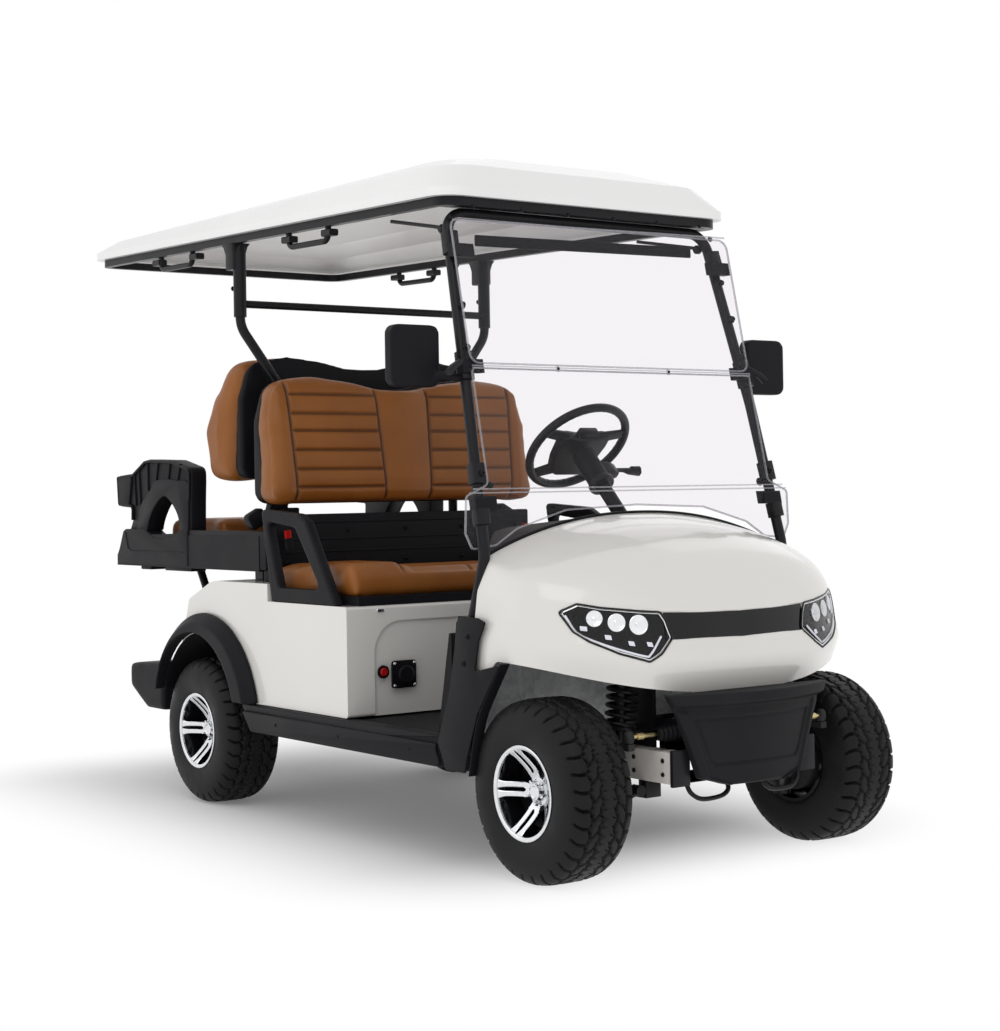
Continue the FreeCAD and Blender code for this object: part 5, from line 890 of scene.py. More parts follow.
def makeBumper(p):
    # Front = bow squared + brow step + lean + sunk panel with its groove - raised frame
    table = np.array(bumperHalves, float)
    z = np.linspace(table[0, 0], table[-1, 0], p["rows"])[:, None]
    half = np.interp(z, table[:, 0], table[:, 1])
    across = np.sin(np.linspace(-math.pi / 2, math.pi / 2, p["columns"]))[None, :]
    x = half * across
    step = np.clip((p["browHigh"] - z) / (p["browHigh"] - p["browLow"]), 0, 1)
    back = p["brow"] * step * step * (3 - 2 * step) + p["lean"] * np.clip(p["browHigh"] - z, 0, None) / 200
    within = insideBy(x, z + 0 * x, bumperPanel)
    sunk = p["inset"] * np.clip(within / p["insetRise"], 0, 1)
    sunk = sunk + p["groove"] * np.exp(-(within / p["grooveWide"]) ** 2)
    outside = np.clip((np.abs(across) - p["frameFrom"]) / p["frameRise"], 0, 1)
    sunk = sunk - p["frame"] * outside * np.clip((p["frameTop"] - z) / p["frameFade"], 0, 1)
    front = p["front"] + p["bow"] * (x / p["bowHalf"]) ** 2 + back + sunk
    edge = np.clip(np.minimum(z - table[0, 0], table[-1, 0] - z) / p["roundHigh"], 0, 1)
    front = front + p["roundDeep"] * (1 - np.sqrt(1 - (1 - edge) ** 2))
    plan = np.clip(1 - np.abs(across) ** p["corner"], 0, 1) ** (1 / p["corner"])
    y = p["rear"] - (p["rear"] - front) * plan
    trim("bumperShield", [sheet(np.stack([x, y, z + 0 * x], -1), aroundColumns=True, caps=True)],
         bumperPlastic, replaces=["front_bumper"], smooth=40)


makeBumper(bumperSet)

# Moulded pieces: a CAD piece remeshed finely and relaxed, which rounds all its edges


def scaledAbout(middle, scale):
    return Matrix.Translation(middle) @ Matrix.Diagonal((*scale, 1)) @ Matrix.Translation(-Vector(middle))


def addSmooth(made, rounds):
    smooth = made.modifiers.new("relax", "SMOOTH")
    smooth.factor = 0.5
    smooth.iterations = rounds


def bake(made, name):
    # Puts the modifiers' result into the mesh
    made.data = bpy.data.meshes.new_from_object(made.evaluated_get(bpy.context.evaluated_depsgraph_get()))
    made.modifiers.clear()
    made.data.name = name


def remeshed(name, node, voxel, rounds, scale):
    # A scaled copy of a CAD piece in small even faces, with its edges rounded
    low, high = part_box(node)
    mesh = nodes[node].data.copy()
    mesh.transform(scaledAbout((Vector(low) + Vector(high)) / 2, scale))
    work = bmesh.new()
    work.from_mesh(mesh)
    bmesh.ops.remove_doubles(work, verts=work.verts, dist=1e-6)
    work.to_mesh(mesh)
    work.free()
    made = bpy.data.objects.new(name, mesh)
    scene.collection.objects.link(made)
    remesh = made.modifiers.new("even", "REMESH")
    remesh.mode = "VOXEL"
    remesh.voxel_size = voxel * mm
    addSmooth(made, rounds)
    bake(made, name)
    return made


def handOver(made, material, body, node):
    mesh = made.data
    mesh.materials.clear()
    mesh.materials.append(material)
    mesh.polygons.foreach_set("use_smooth", [True] * len(mesh.polygons))
    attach(made, body)
    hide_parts(node)


for name, node, voxel, rounds in (
        ("hipRails", "hip_restraints", 4, 8), ("flareSkins", "fender_flares", 4, 12),
        ("mirrorPair", "mirrors", 4, 8), ("stepPad", "rear_step", 6, 30),
        ("dashboardSkin", "dashboard", 6, 8), ("beltSkins", "seat_belts", 3.5, 4),
        ("backShells", "seat_back_shells", 6, 10)):
    size = (0.955, 1, 0.97) if name == "backShells" else (1, 1, 1)
    handOver(remeshed(name, node, voxel, rounds, size), blackPlastic, "root", node)
print("moulded pieces made")

# Cushions: a smaller copy swells under cloth pressure, then seams and channels are pressed in

cushionSet = dict(
    voxel=7, size=(1.01, 0.965, 1.02), relax=6, pressure=4.0, frames=20, cap=24, share=0.6, calm=34,
    proud=(6, 4, 6), fullShadeAt=6)


def readPoints(mesh, what="co"):
    values = np.zeros(len(mesh.vertices) * 3)
    mesh.vertices.foreach_get(what, values)
    return values.reshape(-1, 3)


def swell(made, p):
    # Where cloth pressure carries each point, no further than the cap
    before = readPoints(made.data)
    cloth = made.modifiers.new("cloth", "CLOTH")
    cloth.settings.use_pressure = True
    cloth.settings.uniform_pressure_force = p["pressure"]
    cloth.settings.effector_weights.gravity = 0
    cloth.settings.quality = 5
    cloth.point_cache.frame_start = 1
    cloth.point_cache.frame_end = p["frames"]
    for number in range(1, p["frames"] + 1):
        scene.frame_set(number)
    move = readPoints(made.evaluated_get(bpy.context.evaluated_depsgraph_get()).to_mesh()) - before
    made.modifiers.remove(cloth)
    scene.frame_set(1)
    far = np.linalg.norm(move, axis=1, keepdims=True)
    return before + move * np.minimum(1, p["cap"] * mm / np.maximum(far, 1e-9))


def cushion(name, node, body, shape, p=cushionSet):
    # shape presses the seams in: it takes and gives points in millimetres from the front axle
    low, high = (np.array(corner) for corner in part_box(node))
    made = remeshed(name, node, p["voxel"], p["relax"], p["size"])
    start = readPoints(made.data)
    cloud = start + p["share"] * (swell(made, p) - start)
    made.data.vertices.foreach_set("co", cloud.ravel())
    addSmooth(made, p["calm"])
    finer = made.modifiers.new("finer", "SUBSURF")
    finer.levels = finer.render_levels = 1
    bake(made, name)
    proud = np.array(p["proud"]) * mm
    cloud = np.clip(readPoints(made.data), low - proud, high + proud) / mm
    cloud[:, 1] -= axleY / mm
    cloud, press = shape(cloud, readPoints(made.data, "normal"))
    cloud *= mm
    cloud[:, 1] += axleY
    # The pressed depth is stored on each point for the leather's painted shade, which is fully dark at the
    # set depth
    seam = made.data.attributes.new("seam", "FLOAT", "POINT")
    seam.data.foreach_set("value", np.clip(press / p["fullShadeAt"], 0, 1))
    made.data.vertices.foreach_set("co", cloud.ravel())
    made.data.update()
    handOver(made, leather, body, node)


def groove(distance, wide, depth):
    # A sewn line: a narrow valley with soft shoulders
    return depth * np.exp(-(distance / wide) ** 2)


backSeams = dict(
    inner=(85, 98), outer=(403, 416), low=985, high=1285, channels=(1272, 1213, 1160, 1101, 1042, 987),
    seamWide=4.5, seamDepth=6, channelWide=4.5, channelDepth=5, roll=(9, 92), pads=3, padPitch=57.5,
    bolster=(8, 30))


def frontBackShape(cloud, normal, p=backSeams):
    # Two leaning seams a side with cross channels between them, and a rounded roll in the middle
    x, z = np.abs(cloud[:, 0]), cloud[:, 2]
    facing = np.clip(-normal[:, 1] * 2 - 0.6, 0, 1)
    share = (z - p["low"]) / (p["high"] - p["low"])
    inner = p["inner"][0] + (p["inner"][1] - p["inner"][0]) * share
    outer = p["outer"][0] + (p["outer"][1] - p["outer"][0]) * share
    press = sum(groove(x - line, p["seamWide"], p["seamDepth"]) for line in (inner, outer))
    within = np.clip((x - inner) / 8, 0, 1) * np.clip((outer - x) / 8, 0, 1)
    for place in p["channels"]:
        press = np.maximum(press, groove(z - place, p["channelWide"], p["channelDepth"]) * within)
    roll = p["roll"][0] * np.clip(1 - (x / p["roll"][1]) ** 2, 0, 1)
    pads = p["pads"] * within * np.abs(np.sin(math.pi * (z - p["channels"][-1]) / p["padPitch"])) ** 0.7
    bolster = p["bolster"][0] * np.clip((x - outer) / p["bolster"][1], 0, 1)
    return cloud - normal * ((press - roll - pads - bolster) * facing)[:, None], press * facing


def rearBackShape(cloud, normal):
    x = np.abs(cloud[:, 0])
    facing = np.clip(normal[:, 1] * 2 - 0.6, 0, 1)
    press = groove(x - 90, 4.5, 6) + groove(x - 380, 4.5, 6)
    within = (x > 96) & (x < 374)
    for place in (1100, 1160, 1220, 1280, 1340):
        press = np.maximum(press, groove(cloud[:, 2] - place, 4.5, 5) * within)
    return cloud - normal * (press * facing)[:, None], press * facing


def frontCushionShape(cloud, normal):
    # The two sides stand up as bolsters; the middle is lower and has two cross seams
    x = np.abs(cloud[:, 0])
    facing = np.clip(normal[:, 2] * 2 - 0.6, 0, 1)
    seam = groove(x - 330, 5, 6) + groove(x - 90, 5, 5) * (x < 330)
    dip = 16 * np.clip((352 - x) / 60, 0, 1)
    return cloud - normal * (seam * facing)[:, None] - np.stack(
        [0 * x, 0 * x, dip * facing], -1), seam * facing


def rearCushionShape(cloud, normal):
    x = np.abs(cloud[:, 0])
    facing = np.clip(normal[:, 2] * 2 - 0.6, 0, 1)
    seam = groove(x - 300, 5, 5) + groove(x - 80, 5, 5)
    return cloud - normal * (seam * facing)[:, None], seam * facing


cushion("frontBackPad", "front_seat_back", "root", frontBackShape)
cushion("frontBench", "front_seat_cushion", "front_seat", frontCushionShape)
cushion("rearBackPad", "rear_seat_back", "root", rearBackShape)
cushion("rearBench", "rear_seat_cushion", "rear_seat", rearCushionShape)
print("cushions made")

# Struts' covers: a flat skin with a rolled wheel-arch lip and two bolts on each side

coverSet = dict(
    face=-566, back=-560, boxDeep=-528, lipPlace=-549, lipWide=30, lipThick=3.5,
    outline=[(301, 256), (215, 256), (205, 296), (158, 408), (112, 470), (60, 538), (166, 516),
             (148, 590), (118, 640), (150, 650), (236, 652), (246, 591), (277, 462), (335, 324)],
    archLip=[(58, 540), (106, 474), (151, 409), (175, 350), (189, 293), (200, 250)],
    box=[(196, 300), (196, 636), (252, 636), (262, 560), (300, 400), (330, 300)],
    bolts=[(193, 601), (212, 532)])


def makeCovers(p):
    lip = flatPath(curveThrough(p["archLip"], 30), p["lipPlace"])
    parts = [sidePlate(p["outline"][::-1], 4, 2, p["face"], p["back"], 2),
             bar(lip, p["lipThick"], p["lipWide"], 1.5, 2, (1, 0, 0)),
             plate(np.array(p["box"], float), p["back"], p["boxDeep"], 3, (1, 2, 0))]
    parts += [screwHead((p["face"], y, z), (-1, 0, 0), 7, 4) for y, z in p["bolts"]]
    trim("coverSkins", bothSides(parts), blackPlastic, replaces=["pillar_covers"])


makeCovers(coverSet)

# Windscreen: leaning clear panes whose cut edges carry a painted highlight, fold lines, clips and a folded
# top bar

paneSet = dict(
    lowY=195, lowZ=972, lean=157 / 700, wall=4, edgeWide=4.6, edgeDeep=5,
    bendLines=((972, 540), (962, 552)), foldLines=(1290, 1284), foldHalf=487, clips=(-211, 176),
    foldedBar=[(-405, 1627.0), (350, 1640.0)], topEdge=[(-480, 1676.0), (480, 1690.0)],
    upper=[(-489, 1295), (489, 1295), (489, 1684), (-489, 1684)],
    lower=[(-489, 1286), (-492, 985), (-562, 955), (-566, 860), (-545, 818), (-470, 826), (-400, 868),
           (-240, 912), (0, 922), (240, 912), (400, 868), (470, 826), (545, 818), (566, 860),
           (562, 955), (492, 985), (489, 1286)])


def onPane(flat, out, p=paneSet):
    # A front-view place on the leaning pane, moved out of its face
    flat = np.asarray(flat, float)
    y = p["lowY"] + np.maximum(flat[:, 1] - p["lowZ"], 0) * p["lean"]
    return np.column_stack([flat[:, 0], y - out, flat[:, 1]])


def paneLine(half, z, out):
    return onPane(np.column_stack([np.linspace(-half, half, 20), np.full(20, float(z))]), out)


def makePanes(p):
    front = (0, -1, 0)
    for name, outline, radius, node in (("upperGlass", p["upper"], 30, "windscreen_upper"),
                                        ("lowerGlass", p["lower"], 14, "windscreen_lower")):
        ring = roundedOutline(outline, radius, 5)
        count = len(ring)
        cloud = np.concatenate([onPane(ring, 0), onPane(ring, -p["wall"])])
        faces = [list(range(count)), [count + k for k in range(count)][::-1]]
        faces += [[k, k + count, (k + 1) % count + count, (k + 1) % count] for k in range(count)]
        # A strip round each pane's border in the edge finish, a painted highlight along the cut edge
        middle = onPane(insetOutline(finerOutline(ring, 3), 2), -p["wall"] / 2)
        edge = closedBar(middle, roundedBar(p["edgeWide"], p["edgeDeep"], 1, 2), (0, -1, 0.2), 1)
        parts = [(cloud, faces, [0, 0] + [1] * count), edge]
        if name == "lowerGlass":
            parts += [bar(paneLine(half, z, 1.5), 4, 3, 1, 2, front, paint=1) for z, half in p["bendLines"]]
        trim(name, parts, [paneClear, paneEdgeHighlight], "clear_pane", replaces=[node], smooth=30)
    parts = [bar(paneLine(p["foldHalf"], z, 3), 4, 4, 1, 2, front, paint=1) for z in p["foldLines"]]
    for x in p["clips"]:
        parts.append(bar(onPane([(x, 1280), (x, 1296)], 5), 9, 5, 2, 2, front, paint=1))
        parts.append(screwHead(onPane([(x, 1288)], 7)[0], (0, -1, 0.2), 4, 3))
    parts.append(bar(onPane(p["foldedBar"], -14), 30, 9, 4, 3, front))
    parts.append(bar(onPane(p["topEdge"], 1), 5, 5, 1, 2, front, paint=1))
    trim("paneHardware", parts, [blackPlastic, paneEdgeHighlight])


makePanes(paneSet)

# Knobs, bolts and clamps along the front struts

strutSet = dict(
    line=[(519, 177, 800), (508, 223, 1000), (496, 273, 1200), (483, 325, 1400), (468, 380, 1600),
          (460, 409, 1700)],
    lean=(0, -0.97, 0.24), knobs=(1448, 1335, 1272, 1008), smallKnobs=(1690, 1560),
    clamps=((1620, 60), (1290, 74), (1010, 52), (900, 40)), clampWide=38, clampDeep=34, armAt=1300)


def strutAt(z, p=strutSet):
    line = np.array(p["line"], float)
    return np.array([np.interp(z, line[:, 2], line[:, k]) for k in (0, 1)] + [z])


def knob(place, normal, radius, height):
    # A bolt head on a washer with a round cap
    return [screwHead(place, normal, radius * 1.35, height * 0.3), screwHead(place, normal, radius, height)]


def makeStrutHardware(p):
    parts = []
    front = (0, -1, 0)
    for z in p["knobs"]:
        parts += knob(strutAt(z) + [-4, -15, 3], p["lean"], 8.5, 11)
    for z, long in p["clamps"]:
        ends = np.array([strutAt(z - long / 2), strutAt(z + long / 2)]) + [0, -2, 0]
        parts.append(bar(ends, p["clampWide"], p["clampDeep"], 6, 3, front))
    parts += knob(strutAt(1010) + [-34, -8, -30], p["lean"], 9, 14)
    arm = strutAt(p["armAt"])
    parts.append(bar([arm + [0, -10, 10], arm + [48, -22, -14], arm + [66, -26, -30]], 16, 20, 4, 3, front))
    for z in p["smallKnobs"]:
        parts += knob(strutAt(z) + [-2, -15, 0], p["lean"], 6.5, 6)
    trim("strutHardware", bothSides(parts), blackSatin)


makeStrutHardware(strutSet)

# Roof frame: rail screws, blocks at the handles' ends, rear strut heads and short front stays

roofSet = dict(
    railFront=370, railHigh=1722, railClimb=55 / 2157, railPlace=470,
    blocks=((-1, (989, 1219, 1819, 2087)), (1, (1844, 2076))), headPlace=1556,
    headHeights=(1668, 1672, 1716, 1738, 1748), headSizes=(0.9, 1, 1, 1.2, 1.45),
    stay=((444, 696, 1716), (450, 440, 1668)), ball=(452, 438, 1664))


def railPoint(x, y, below, p=roofSet):
    # The rail climbs from the front to the rear
    return np.array([x, y, p["railHigh"] + (y - p["railFront"]) * p["railClimb"] - below], float)


def makeRoofHardware(p):
    parts = [screwHead(railPoint(x, 371, 2), (0, -1, 0), 5.5, 4) for x in np.linspace(-400, 400, 6)]
    for side, places in p["blocks"]:
        x = side * p["railPlace"]
        parts += [bar([railPoint(x, y - 24, 20), railPoint(x, y + 24, 20)], 30, 20, 5, 3) for y in places]
    for side in (-1, 1):
        x, y = side * p["railPlace"], p["headPlace"]
        head = [(x, y, z) for z in p["headHeights"]]
        parts.append(bar(head, 46, 56, 7, 3, (0, 1, 0), sizes=np.array(p["headSizes"])))
        parts += [screwHead((x, y + turn * 16, 1612), (0, turn, 0), 8, 8) for turn in (-1, 1)]
        parts.append(bar(np.array(p["stay"]) * [side, 1, 1], 14, 10, 3, 3))
        ball = [(-12, 0), (-12, 8), (-6, 13), (6, 13), (12, 8), (12, 0)]
        parts.append(lathe(ball, 16, "x", np.array(p["ball"]) * [side, 1, 1]))
    trim("roofHardware", parts, blackSatin)


makeRoofHardware(roofSet)

# Springs: a wire coil along each damper, between two cups

springSet = dict(top=(262, -50, 505), foot=(276, -52, 372), radius=36, wire=5.5, turns=6.5, steps=200)


def makeSprings(p):
    top, foot = np.array(p["top"], float), np.array(p["foot"], float)
    along = unit(top - foot)
    side = unit(np.cross(along, (0, 1, 0)))
    other = np.cross(along, side)
    t = np.linspace(0, 1, p["steps"])[:, None]
    turn = 2 * math.pi * p["turns"] * t
    coil = foot + (top - foot) * t + p["radius"] * (np.cos(turn) * side + np.sin(turn) * other)
    parts = [sweep(coil, circle(p["wire"], 8), up=along)]
    for place, way in ((foot, 1), (top, -1)):
        stack = np.array([place + along * way * d for d in (-8, -6, 0, 2)])
        parts.append(sweep(stack, circle(1, 28), up=(0, 1, 0), sizes=np.array([18, 42, 43, 40])))
    parts.append(sweep(np.array([foot - along * 50, top + along * 4]), circle(13, 18), up=(0, 1, 0)))
    trim("coilSprings", bothSides(parts), blackSatin, "frame_black", replaces=["front_shocks"], smooth=40)


makeSprings(springSet)

# Charging place on the seat's front: a plate with screws, cap, collar, button, ring and latch

chargeSet = dict(
    face=805.0, proud=7, plate=(-402, 414, -320, 492), screws=((-394, -328), (422, 484)),
    cap=(-361, 453), button=(-428, 463), latch=(-448, 632, -422, 642))


def makeChargePlace(p):
    face = p["face"]
    places = {name: (p[name][0], face - out, p[name][1]) for name, out in (("cap", 6), ("button", 0))}
    parts = [frontPlate(rectangle(*p["plate"]), 9, 4, face - p["proud"], face, 2),
             frontPlate(rectangle(*p["latch"]), 4, 3, face - 5, face, 2, paint=1)]
    for name, count, paint, profile in (
            ("cap", 30, 0, [(0, 0), (-14, 0), (-14, 22), (-11, 26), (0, 27)]),
            ("cap", 30, 0, [(0, 26), (-4, 27), (-4, 31), (0, 32)]),
            ("button", 20, 2, [(0, 0), (-8, 0), (-9, 9), (-6, 12), (0, 13)]),
            ("button", 20, 0, [(0, 13), (-5, 14), (-5, 18), (0, 19)])):
        parts.append(moved(lathe(profile, count, "y", paint=paint), places[name]))
    parts += [screwHead((x, face - p["proud"], z), (0, -1, 0), 4.5, 3, 1)
              for x in p["screws"][0] for z in p["screws"][1]]
    trim("chargePlate", parts, [blackPlastic, chrome, redLens], replaces=["charge_port"])


makeChargePlace(chargeSet)

# Belts: reels at the rear struts' foot and a red buckle on its stalk

beltSet = dict(
    reels=((-470, 1452, 892, 0.5), (-395, 1452, 930, -0.3)), reelSize=(-30, -26, 30, 26),
    stalk=[(-440, 1300, 800), (-444, 1300, 834)], buckle=[(-444, 1300, 834), (-446, 1300, 858)])


def makeBelts(p):
    parts = [bar(p["stalk"], 24, 14, 3, 3, (0, -1, 0)), bar(p["buckle"], 20, 12, 3, 3, (0, -1, 0), paint=1)]
    for x, y, z, turn in p["reels"]:
        a, b = math.cos(turn), math.sin(turn)
        spin = np.array([[a, 0, -b], [0, 1, 0], [b, 0, a]])
        parts.append(moved(frontPlate(rectangle(*p["reelSize"]), 12, 4, -16, 16, 4), (x, y, z), spin))
    trim("beltReels", bothSides(parts), [blackPlastic, redLens])


makeBelts(beltSet)
print("panes, covers and hardware made")

# Steering wheel: a grip with finger ridges, a broad hub, four spokes and a stalk with a thick end

steerSet = dict(
    centre=(250, 764, 1096), axis=(0, 0.69484, 0.719164), radius=160, grip=13.3, ridge=1.2, ridges=44,
    spokes=(((58, 40, -2), (150, 56, 0), 30), ((44, -86, -2), (110, -114, 0), 34)), spokeThick=12,
    hub=[(-70, 58), (-20, 50), (20, 50), (70, 58), (86, 50), (88, 20), (80, -40), (62, -92), (40, -104),
         (-40, -104), (-62, -92), (-80, -40), (-88, 20), (-86, 50)],
    pad=[(-56, 40), (56, 40), (62, 0), (42, -76), (-42, -76), (-62, 0)],
    bump=[(-33, 46), (-30, 74), (34, 74), (40, 46)],
    pod=[(10, -26), (62, -22), (84, -8), (84, 12), (60, 22), (10, 24)],
    stalk=[(80, 2, -104), (112, 0, -104), (140, -3, -104), (176, -8, -104), (180, -8, -104)],
    collar=[(-168, 20), (-168, 37), (-163, 39.5), (-152, 39.5), (-148, 37), (-148, 20)])


def makeSteering(p):
    # Drawn flat in the wheel's own plane, with its axis upwards, and then leaned back
    flat = (0, 1, 2)
    axis = np.array(p["axis"])
    turn = np.column_stack([(1, 0, 0), np.cross((1, 0, 0), axis), axis])
    round1 = np.linspace(0, 2 * math.pi, p["ridges"] * 6, endpoint=False)[:, None]
    round2 = np.linspace(0, 2 * math.pi, 18, endpoint=False)[None, :]
    ridges = np.clip(-np.cos(round2), 0, 1) * (0.5 + 0.5 * np.cos(p["ridges"] * round1))
    grip = p["grip"] - p["ridge"] * ridges
    reach = p["radius"] + grip * np.cos(round2)
    ring = np.stack([reach * np.cos(round1), reach * np.sin(round1), grip * np.sin(round2)], -1)
    parts = [sheet(ring, aroundRows=True, aroundColumns=True),
             plate(roundedOutline(p["hub"], 9, 3), -21, 13, 7, flat),
             plate(roundedOutline(p["pad"], 14, 4), 8, 21, 6, flat),
             plate(roundedOutline(p["bump"], 5, 3), -14, 6, 3, flat)]
    for inside, outside, wide in p["spokes"]:
        ends = np.array([inside, outside], float)
        middle = [*ends[:, :2].mean(0), -1]
        for side in (-1, 1):
            path = curveThrough(np.array([ends[0], middle, ends[1]]) * [side, 1, 1], 9)
            parts.append(bar(path, wide, p["spokeThick"], 4, 3, sizes=np.linspace(1.25, 1, 9)))
    trim("steeringGrip", [moved(part, p["centre"], turn) for part in parts], blackSatin,
         body="steering_wheel", replaces=["steering_wheel"], smooth=42)
    thick = np.interp(np.linspace(0, 1, 24), [0, 0.3, 0.5, 0.9, 1], [5.5, 5.5, 11, 11.5, 7])
    parts = [plate(roundedOutline(p["pod"], 8, 3), -128, -84, 8, flat),
             sweep(curveThrough(p["stalk"], 24), circle(1, 14), sizes=thick),
             lathe(p["collar"], 40, "z")]
    trim("columnTrim", [moved(part, p["centre"], turn) for part in parts], blackSatin, smooth=42)


makeSteering(steerSet)

# Rear armrests: an arch with a raised border, a band round the opening and upright ribs

armSet = dict(
    face=-500, web=-493, inner=-437, trayFace=-503, trayInner=-440,
    arch=[(2152, 853), (2134, 888), (2098, 928), (2052, 958), (2019, 967), (1990, 957), (1947, 928),
          (1919, 895), (1908, 853)],
    outer=[(1842, 853), (1838, 953), (1834, 1010), (1834, 1056), (1971, 1085), (2142, 1091),
           (2170, 1088), (2262, 1046), (2386, 1039), (2376, 934), (2271, 928), (2273, 888), (2290, 853)],
    outerRadii=[0, 4, 8, 26, 20, 24, 14, 14, 10, 14, 8, 8, 0],
    band=[(2228, 853), (2215, 900), (2190, 945), (2123, 988), (2084, 1018), (2009, 1023), (1920, 1017),
          (1850, 1010), (1846, 950), (1850, 853)],
    grip=[(2376, 1032), (2368, 942), (2290, 937), (2266, 1038)],
    ribs=[[(2146, 1083), (2145, 985)], [(2067, 1082), (2084, 1018)], [(1978, 1080), (1993, 1022)],
          [(1906, 1072), (1926, 1018)], [(2215, 1060), (2205, 935)], [(2250, 1045), (2240, 935)]],
    tray=[(2380, 738), (2380, 758), (2331, 850), (2313, 857), (2162, 857), (2140, 846), (2090, 830),
          (2023, 824), (1950, 836), (1915, 852), (1900, 857), (1850, 857), (1850, 738)],
    crease=[(2312, 846), (2292, 792), (2272, 783), (1887, 783)],
    sidePanel=(1342, 738, 1846, 856), pegs=((2131, 2207), (1839, 2026)))


def makeArmrests(p):
    out = (1, 0, 0)
    arch = curveThrough(p["arch"], 26)
    around = np.concatenate([roundedOutline(p["outer"], p["outerRadii"], 4, closed=False), arch])
    band = np.concatenate([curveThrough(p["band"], 40), arch[::-1]])
    parts = [plate(around[::-1], p["web"], p["inner"], 5, (1, 2, 0)),
             plate(band, p["face"], p["face"] + 12, 3, (1, 2, 0)),
             bar(flatPath(insetOutline(around, 7)[4:-30], p["face"] + 4), 9, 10, 3, 3, out),
             sidePlate(p["grip"][::-1], 10, 3, p["face"], p["face"] + 12, 3),
             sidePlate(p["tray"][::-1], 5, 3, p["trayFace"], p["trayInner"], 4),
             bar(flatPath(p["crease"], p["trayFace"]), 4, 4, 1.5, 2, out),
             sidePlate(rectangle(*p["sidePanel"]), 6, 3, p["face"] + 2, p["face"] + 14, 3)]
    parts += [bar(flatPath(rib, p["face"] + 6), 5, 9, 2, 2, out) for rib in p["ribs"]]
    parts += [sidePlate(rectangle(low, 722, high, 741), 3, 2, p["face"] + 4, p["trayInner"] - 2, 2)
              for low, high in p["pegs"]]
    trim("armrestArches", bothSides(parts), blackPlastic, replaces=["rear_armrests"])


makeArmrests(armSet)

# Guard behind the front bench: a ribbed black panel that hides the space under the two backs

guardSet = dict(
    wall=(-484, 703, 484, 905), front=1330, thick=12, lines=(880, 828, 790), lineHalf=470,
    boltPlaces=(-430, -215, 0, 215, 430), boltHeights=(855, 760), side=(1336, 703, 1384, 905),
    sidePlace=478)


def makeGuard(p):
    front, half = p["front"], p["lineHalf"]
    parts = [frontPlate(rectangle(*p["wall"]), 6, 3, front, front + p["thick"], 3)]
    parts += [bar([(-half, front, z), (half, front, z)], 6, 5, 2, 2, (0, -1, 0)) for z in p["lines"]]
    parts += [screwHead((x, front - 1, z), (0, -1, 0), 7, 5)
              for x in p["boltPlaces"] for z in p["boltHeights"]]
    parts += [sidePlate(rectangle(*p["side"]), 5, 3, x - 5, x + 5, 2)
              for x in (-p["sidePlace"], p["sidePlace"])]
    trim("benchGuard", parts, blackPlastic)


makeGuard(guardSet)

# Front subframe: bright horns with dark ends, a rack plate, damper towers and arm pivots

subframeSet = dict(
    # Each block: two opposite corners, edge radius, and 1 where it is black
    blocks=[((190, -200, 240), (240, 52, 318), 2, 0), ((186, -212, 234), (244, -199, 324), 2, 1),
            ((-190, -178, 308), (190, -122, 318), 1.5, 1), ((190, -92, 316), (200, 52, 532), 1.5, 1),
            ((190, -92, 522), (304, -12, 532), 1.5, 1), ((-190, -121, 300), (190, -98, 352), 2, 1),
            ((190, -105, 196), (240, -75, 240), 1.5, 1), ((190, 15, 196), (240, 45, 240), 1.5, 1),
            ((-190, -196, 238), (190, -150, 262), 3, 1)],
    bolts=((-170, 262), (-170, 296), (-60, 262), (-60, 296), (20, 280)),
    hook=[(60, -206, 232), (64, -212, 212), (90, -212, 199), (150, -212, 198), (180, -206, 214),
          (190, -200, 236)],
    rackAt=(-150, 360), bootStart=168, bootPitch=13, bootRibs=6)


def makeSubframe(p):
    parts = []
    for low, high, edge, paint in p["blocks"]:
        outline = roundedOutline(rectangle(*low[:2], *high[:2]), min(edge * 2, 5), 2)
        parts.append(plate(outline, low[2], high[2], edge, (0, 1, 2), 2, paint))
    parts += [screwHead((240, y, z), (1, 0, 0), 6, 4, 1) for y, z in p["bolts"]]
    parts.append(sweep(curveThrough(p["hook"], 30), circle(6, 10), up=(0, -1, 0), paint=1))
    trim("subframeParts", bothSides(parts), [brightZinc, blackSatin], "galvanised",
         replaces=["front_subframe"])


def makeRack(p):
    # Ribbed boots that stay still, and the tie rods that slide with the rack
    boot = [(164, 16), (164, 24)]
    for k in range(p["bootRibs"]):
        place = p["bootStart"] + p["bootPitch"] * k
        boot += [(place, 25.5 - 1.6 * k), (place + p["bootPitch"] / 2, 19 - 1.2 * k)]
    profile = np.array(boot + [(246, 16), (246, 12), (170, 12)], float)
    angle = np.linspace(0, 2 * math.pi, 28, endpoint=False)
    y, z = p["rackAt"]
    cloud = np.stack([profile[:, :1] + 0 * angle, y + profile[:, 1:] * np.cos(angle),
                      z + profile[:, 1:] * np.sin(angle)], -1)
    boots = bothSides([sheet(cloud, aroundRows=True, aroundColumns=True)])
    trim("rackBoots", boots, blackPlastic, smooth=30)
    half = [(286, 5.5), (286, 8.5), (306, 8.5), (306, 5.5), (333, 5.5), (333, 0)]
    rod = lathe([(-x, r) for x, r in half[::-1]] + half, 16, "x", (0, y, z))
    joint = lathe([(344, 0), (344, 9), (350, 13), (362, 13.5), (372, 11), (376, 6), (377, 0)], 20, "z",
                  (330, y, 0), paint=1)
    trim("tieRods", [rod] + bothSides([joint]), [zinc, castBlack], "steel", body="steering_rack",
         replaces=["steering_rack"], smooth=40)


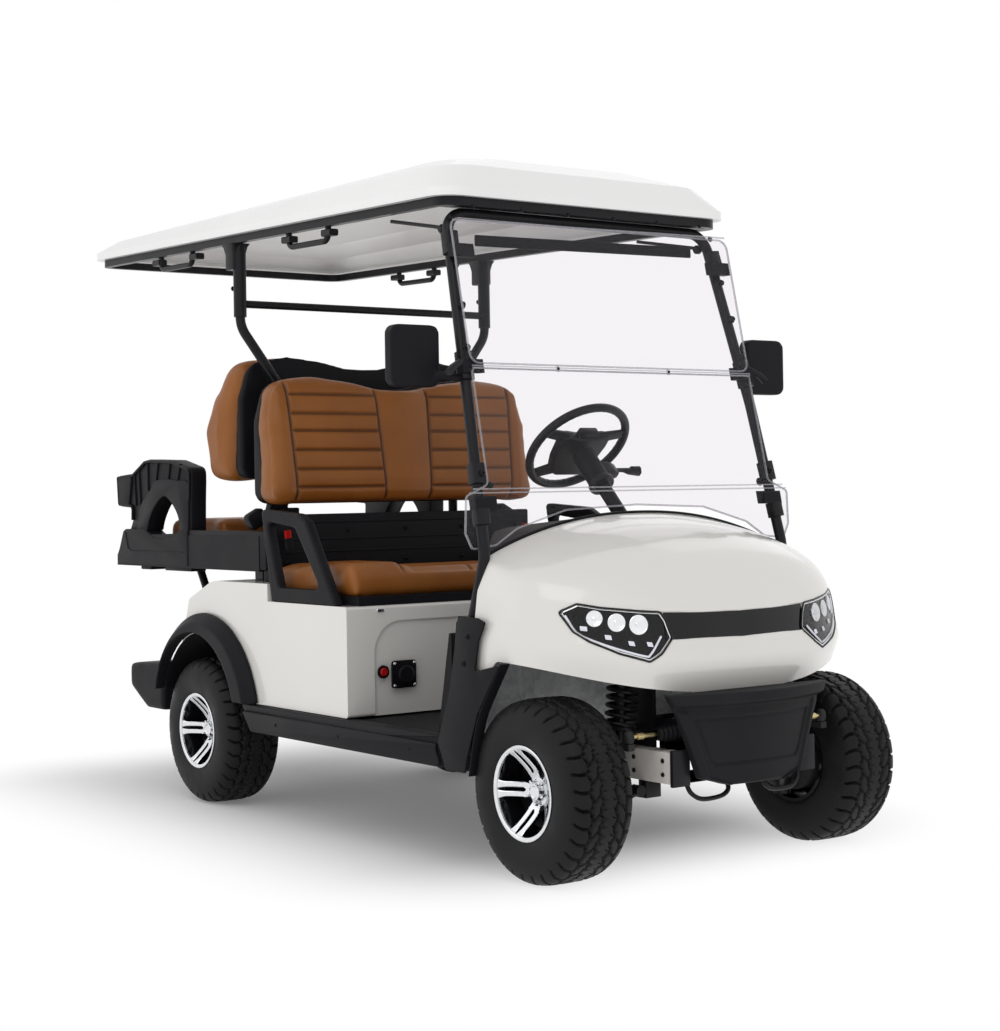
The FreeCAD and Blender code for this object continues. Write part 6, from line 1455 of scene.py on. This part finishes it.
makeSubframe(subframeSet)
makeRack(subframeSet)

# Rocker panels: a body with a stepped face and a row of screws

rockerSet = dict(
    full=[(318, 257), (1335, 257), (1402, 339), (341, 339), (341, 298)], fullRadii=[14, 8, 6, 3, 3],
    low=[(322, 259), (1332, 259), (1385, 318), (345, 318), (345, 300)], lowRadii=[12, 8, 5, 3, 3],
    face=-566, step=-558, inner=-520, screws=(470, 830, 1180), screwHigh=292)


def makeRockers(p):
    parts = [sidePlate(p["full"], p["fullRadii"], 4, p["step"], p["inner"], 4),
             sidePlate(p["low"], p["lowRadii"], 4, p["face"], p["step"] + 4, 3)]
    parts += [screwHead((p["face"], y, p["screwHigh"]), (-1, 0, 0), 5, 1.5) for y in p["screws"]]
    trim("rockerSkins", bothSides(parts), blackPlastic, replaces=["rocker_panels"])


makeRockers(rockerSet)
print("steering, armrests, guard, subframe and rockers made")

# Floor under the cart


def makeFloor(p):
    # White far away; near the cart a pale floor that takes its shadow, under a glow of painted light that is
    # weakest over the cart's footprint and grows with the distance from it; the footprint is set back, so
    # the floor in front of the cart is painted brighter and the floor under it darker
    reach = p["floorHalf"]
    mesh = bpy.data.meshes.new("paleFloor")
    mesh.from_pydata([(x, y, 0) for x, y in rectangle(-reach, -reach, reach, reach)], [], [[0, 1, 2, 3]])
    floor = bpy.data.objects.new("paleFloor", mesh)
    scene.collection.objects.link(floor)
    material, tree, skin = shader("paleFloor", (p["floorGrey"],) * 3, 0.75)
    last = addNode(tree, "TexCoord").outputs["Object"]
    for operation, other in (("ADD", p["cartShift"]), ("ABSOLUTE", (0, 0, 0)), ("SUBTRACT", p["cartHalf"]),
                             ("MAXIMUM", (0, 0, 0)), ("LENGTH", (0, 0, 0))):
        far = addNode(tree, "VectorMath", {0: last, 1: other}, operation=operation)
        last = far.outputs[0]
    # Painted light: the glow's share is low under the cart and full past the fade distance
    fade = addNode(tree, "MapRange", {
        "From Min": p["fade"][0], "From Max": p["fade"][1], "To Min": p["glowNearCart"],
        "Value": far.outputs["Value"]}, interpolation_type="SMOOTHSTEP")
    surfaceMix(tree, fade.outputs[0], skin, addNode(tree, "Emission", {"Color": (1, 1, 1, 1)}))
    mesh.materials.append(material)


makeFloor(lightSet)

print("all made")
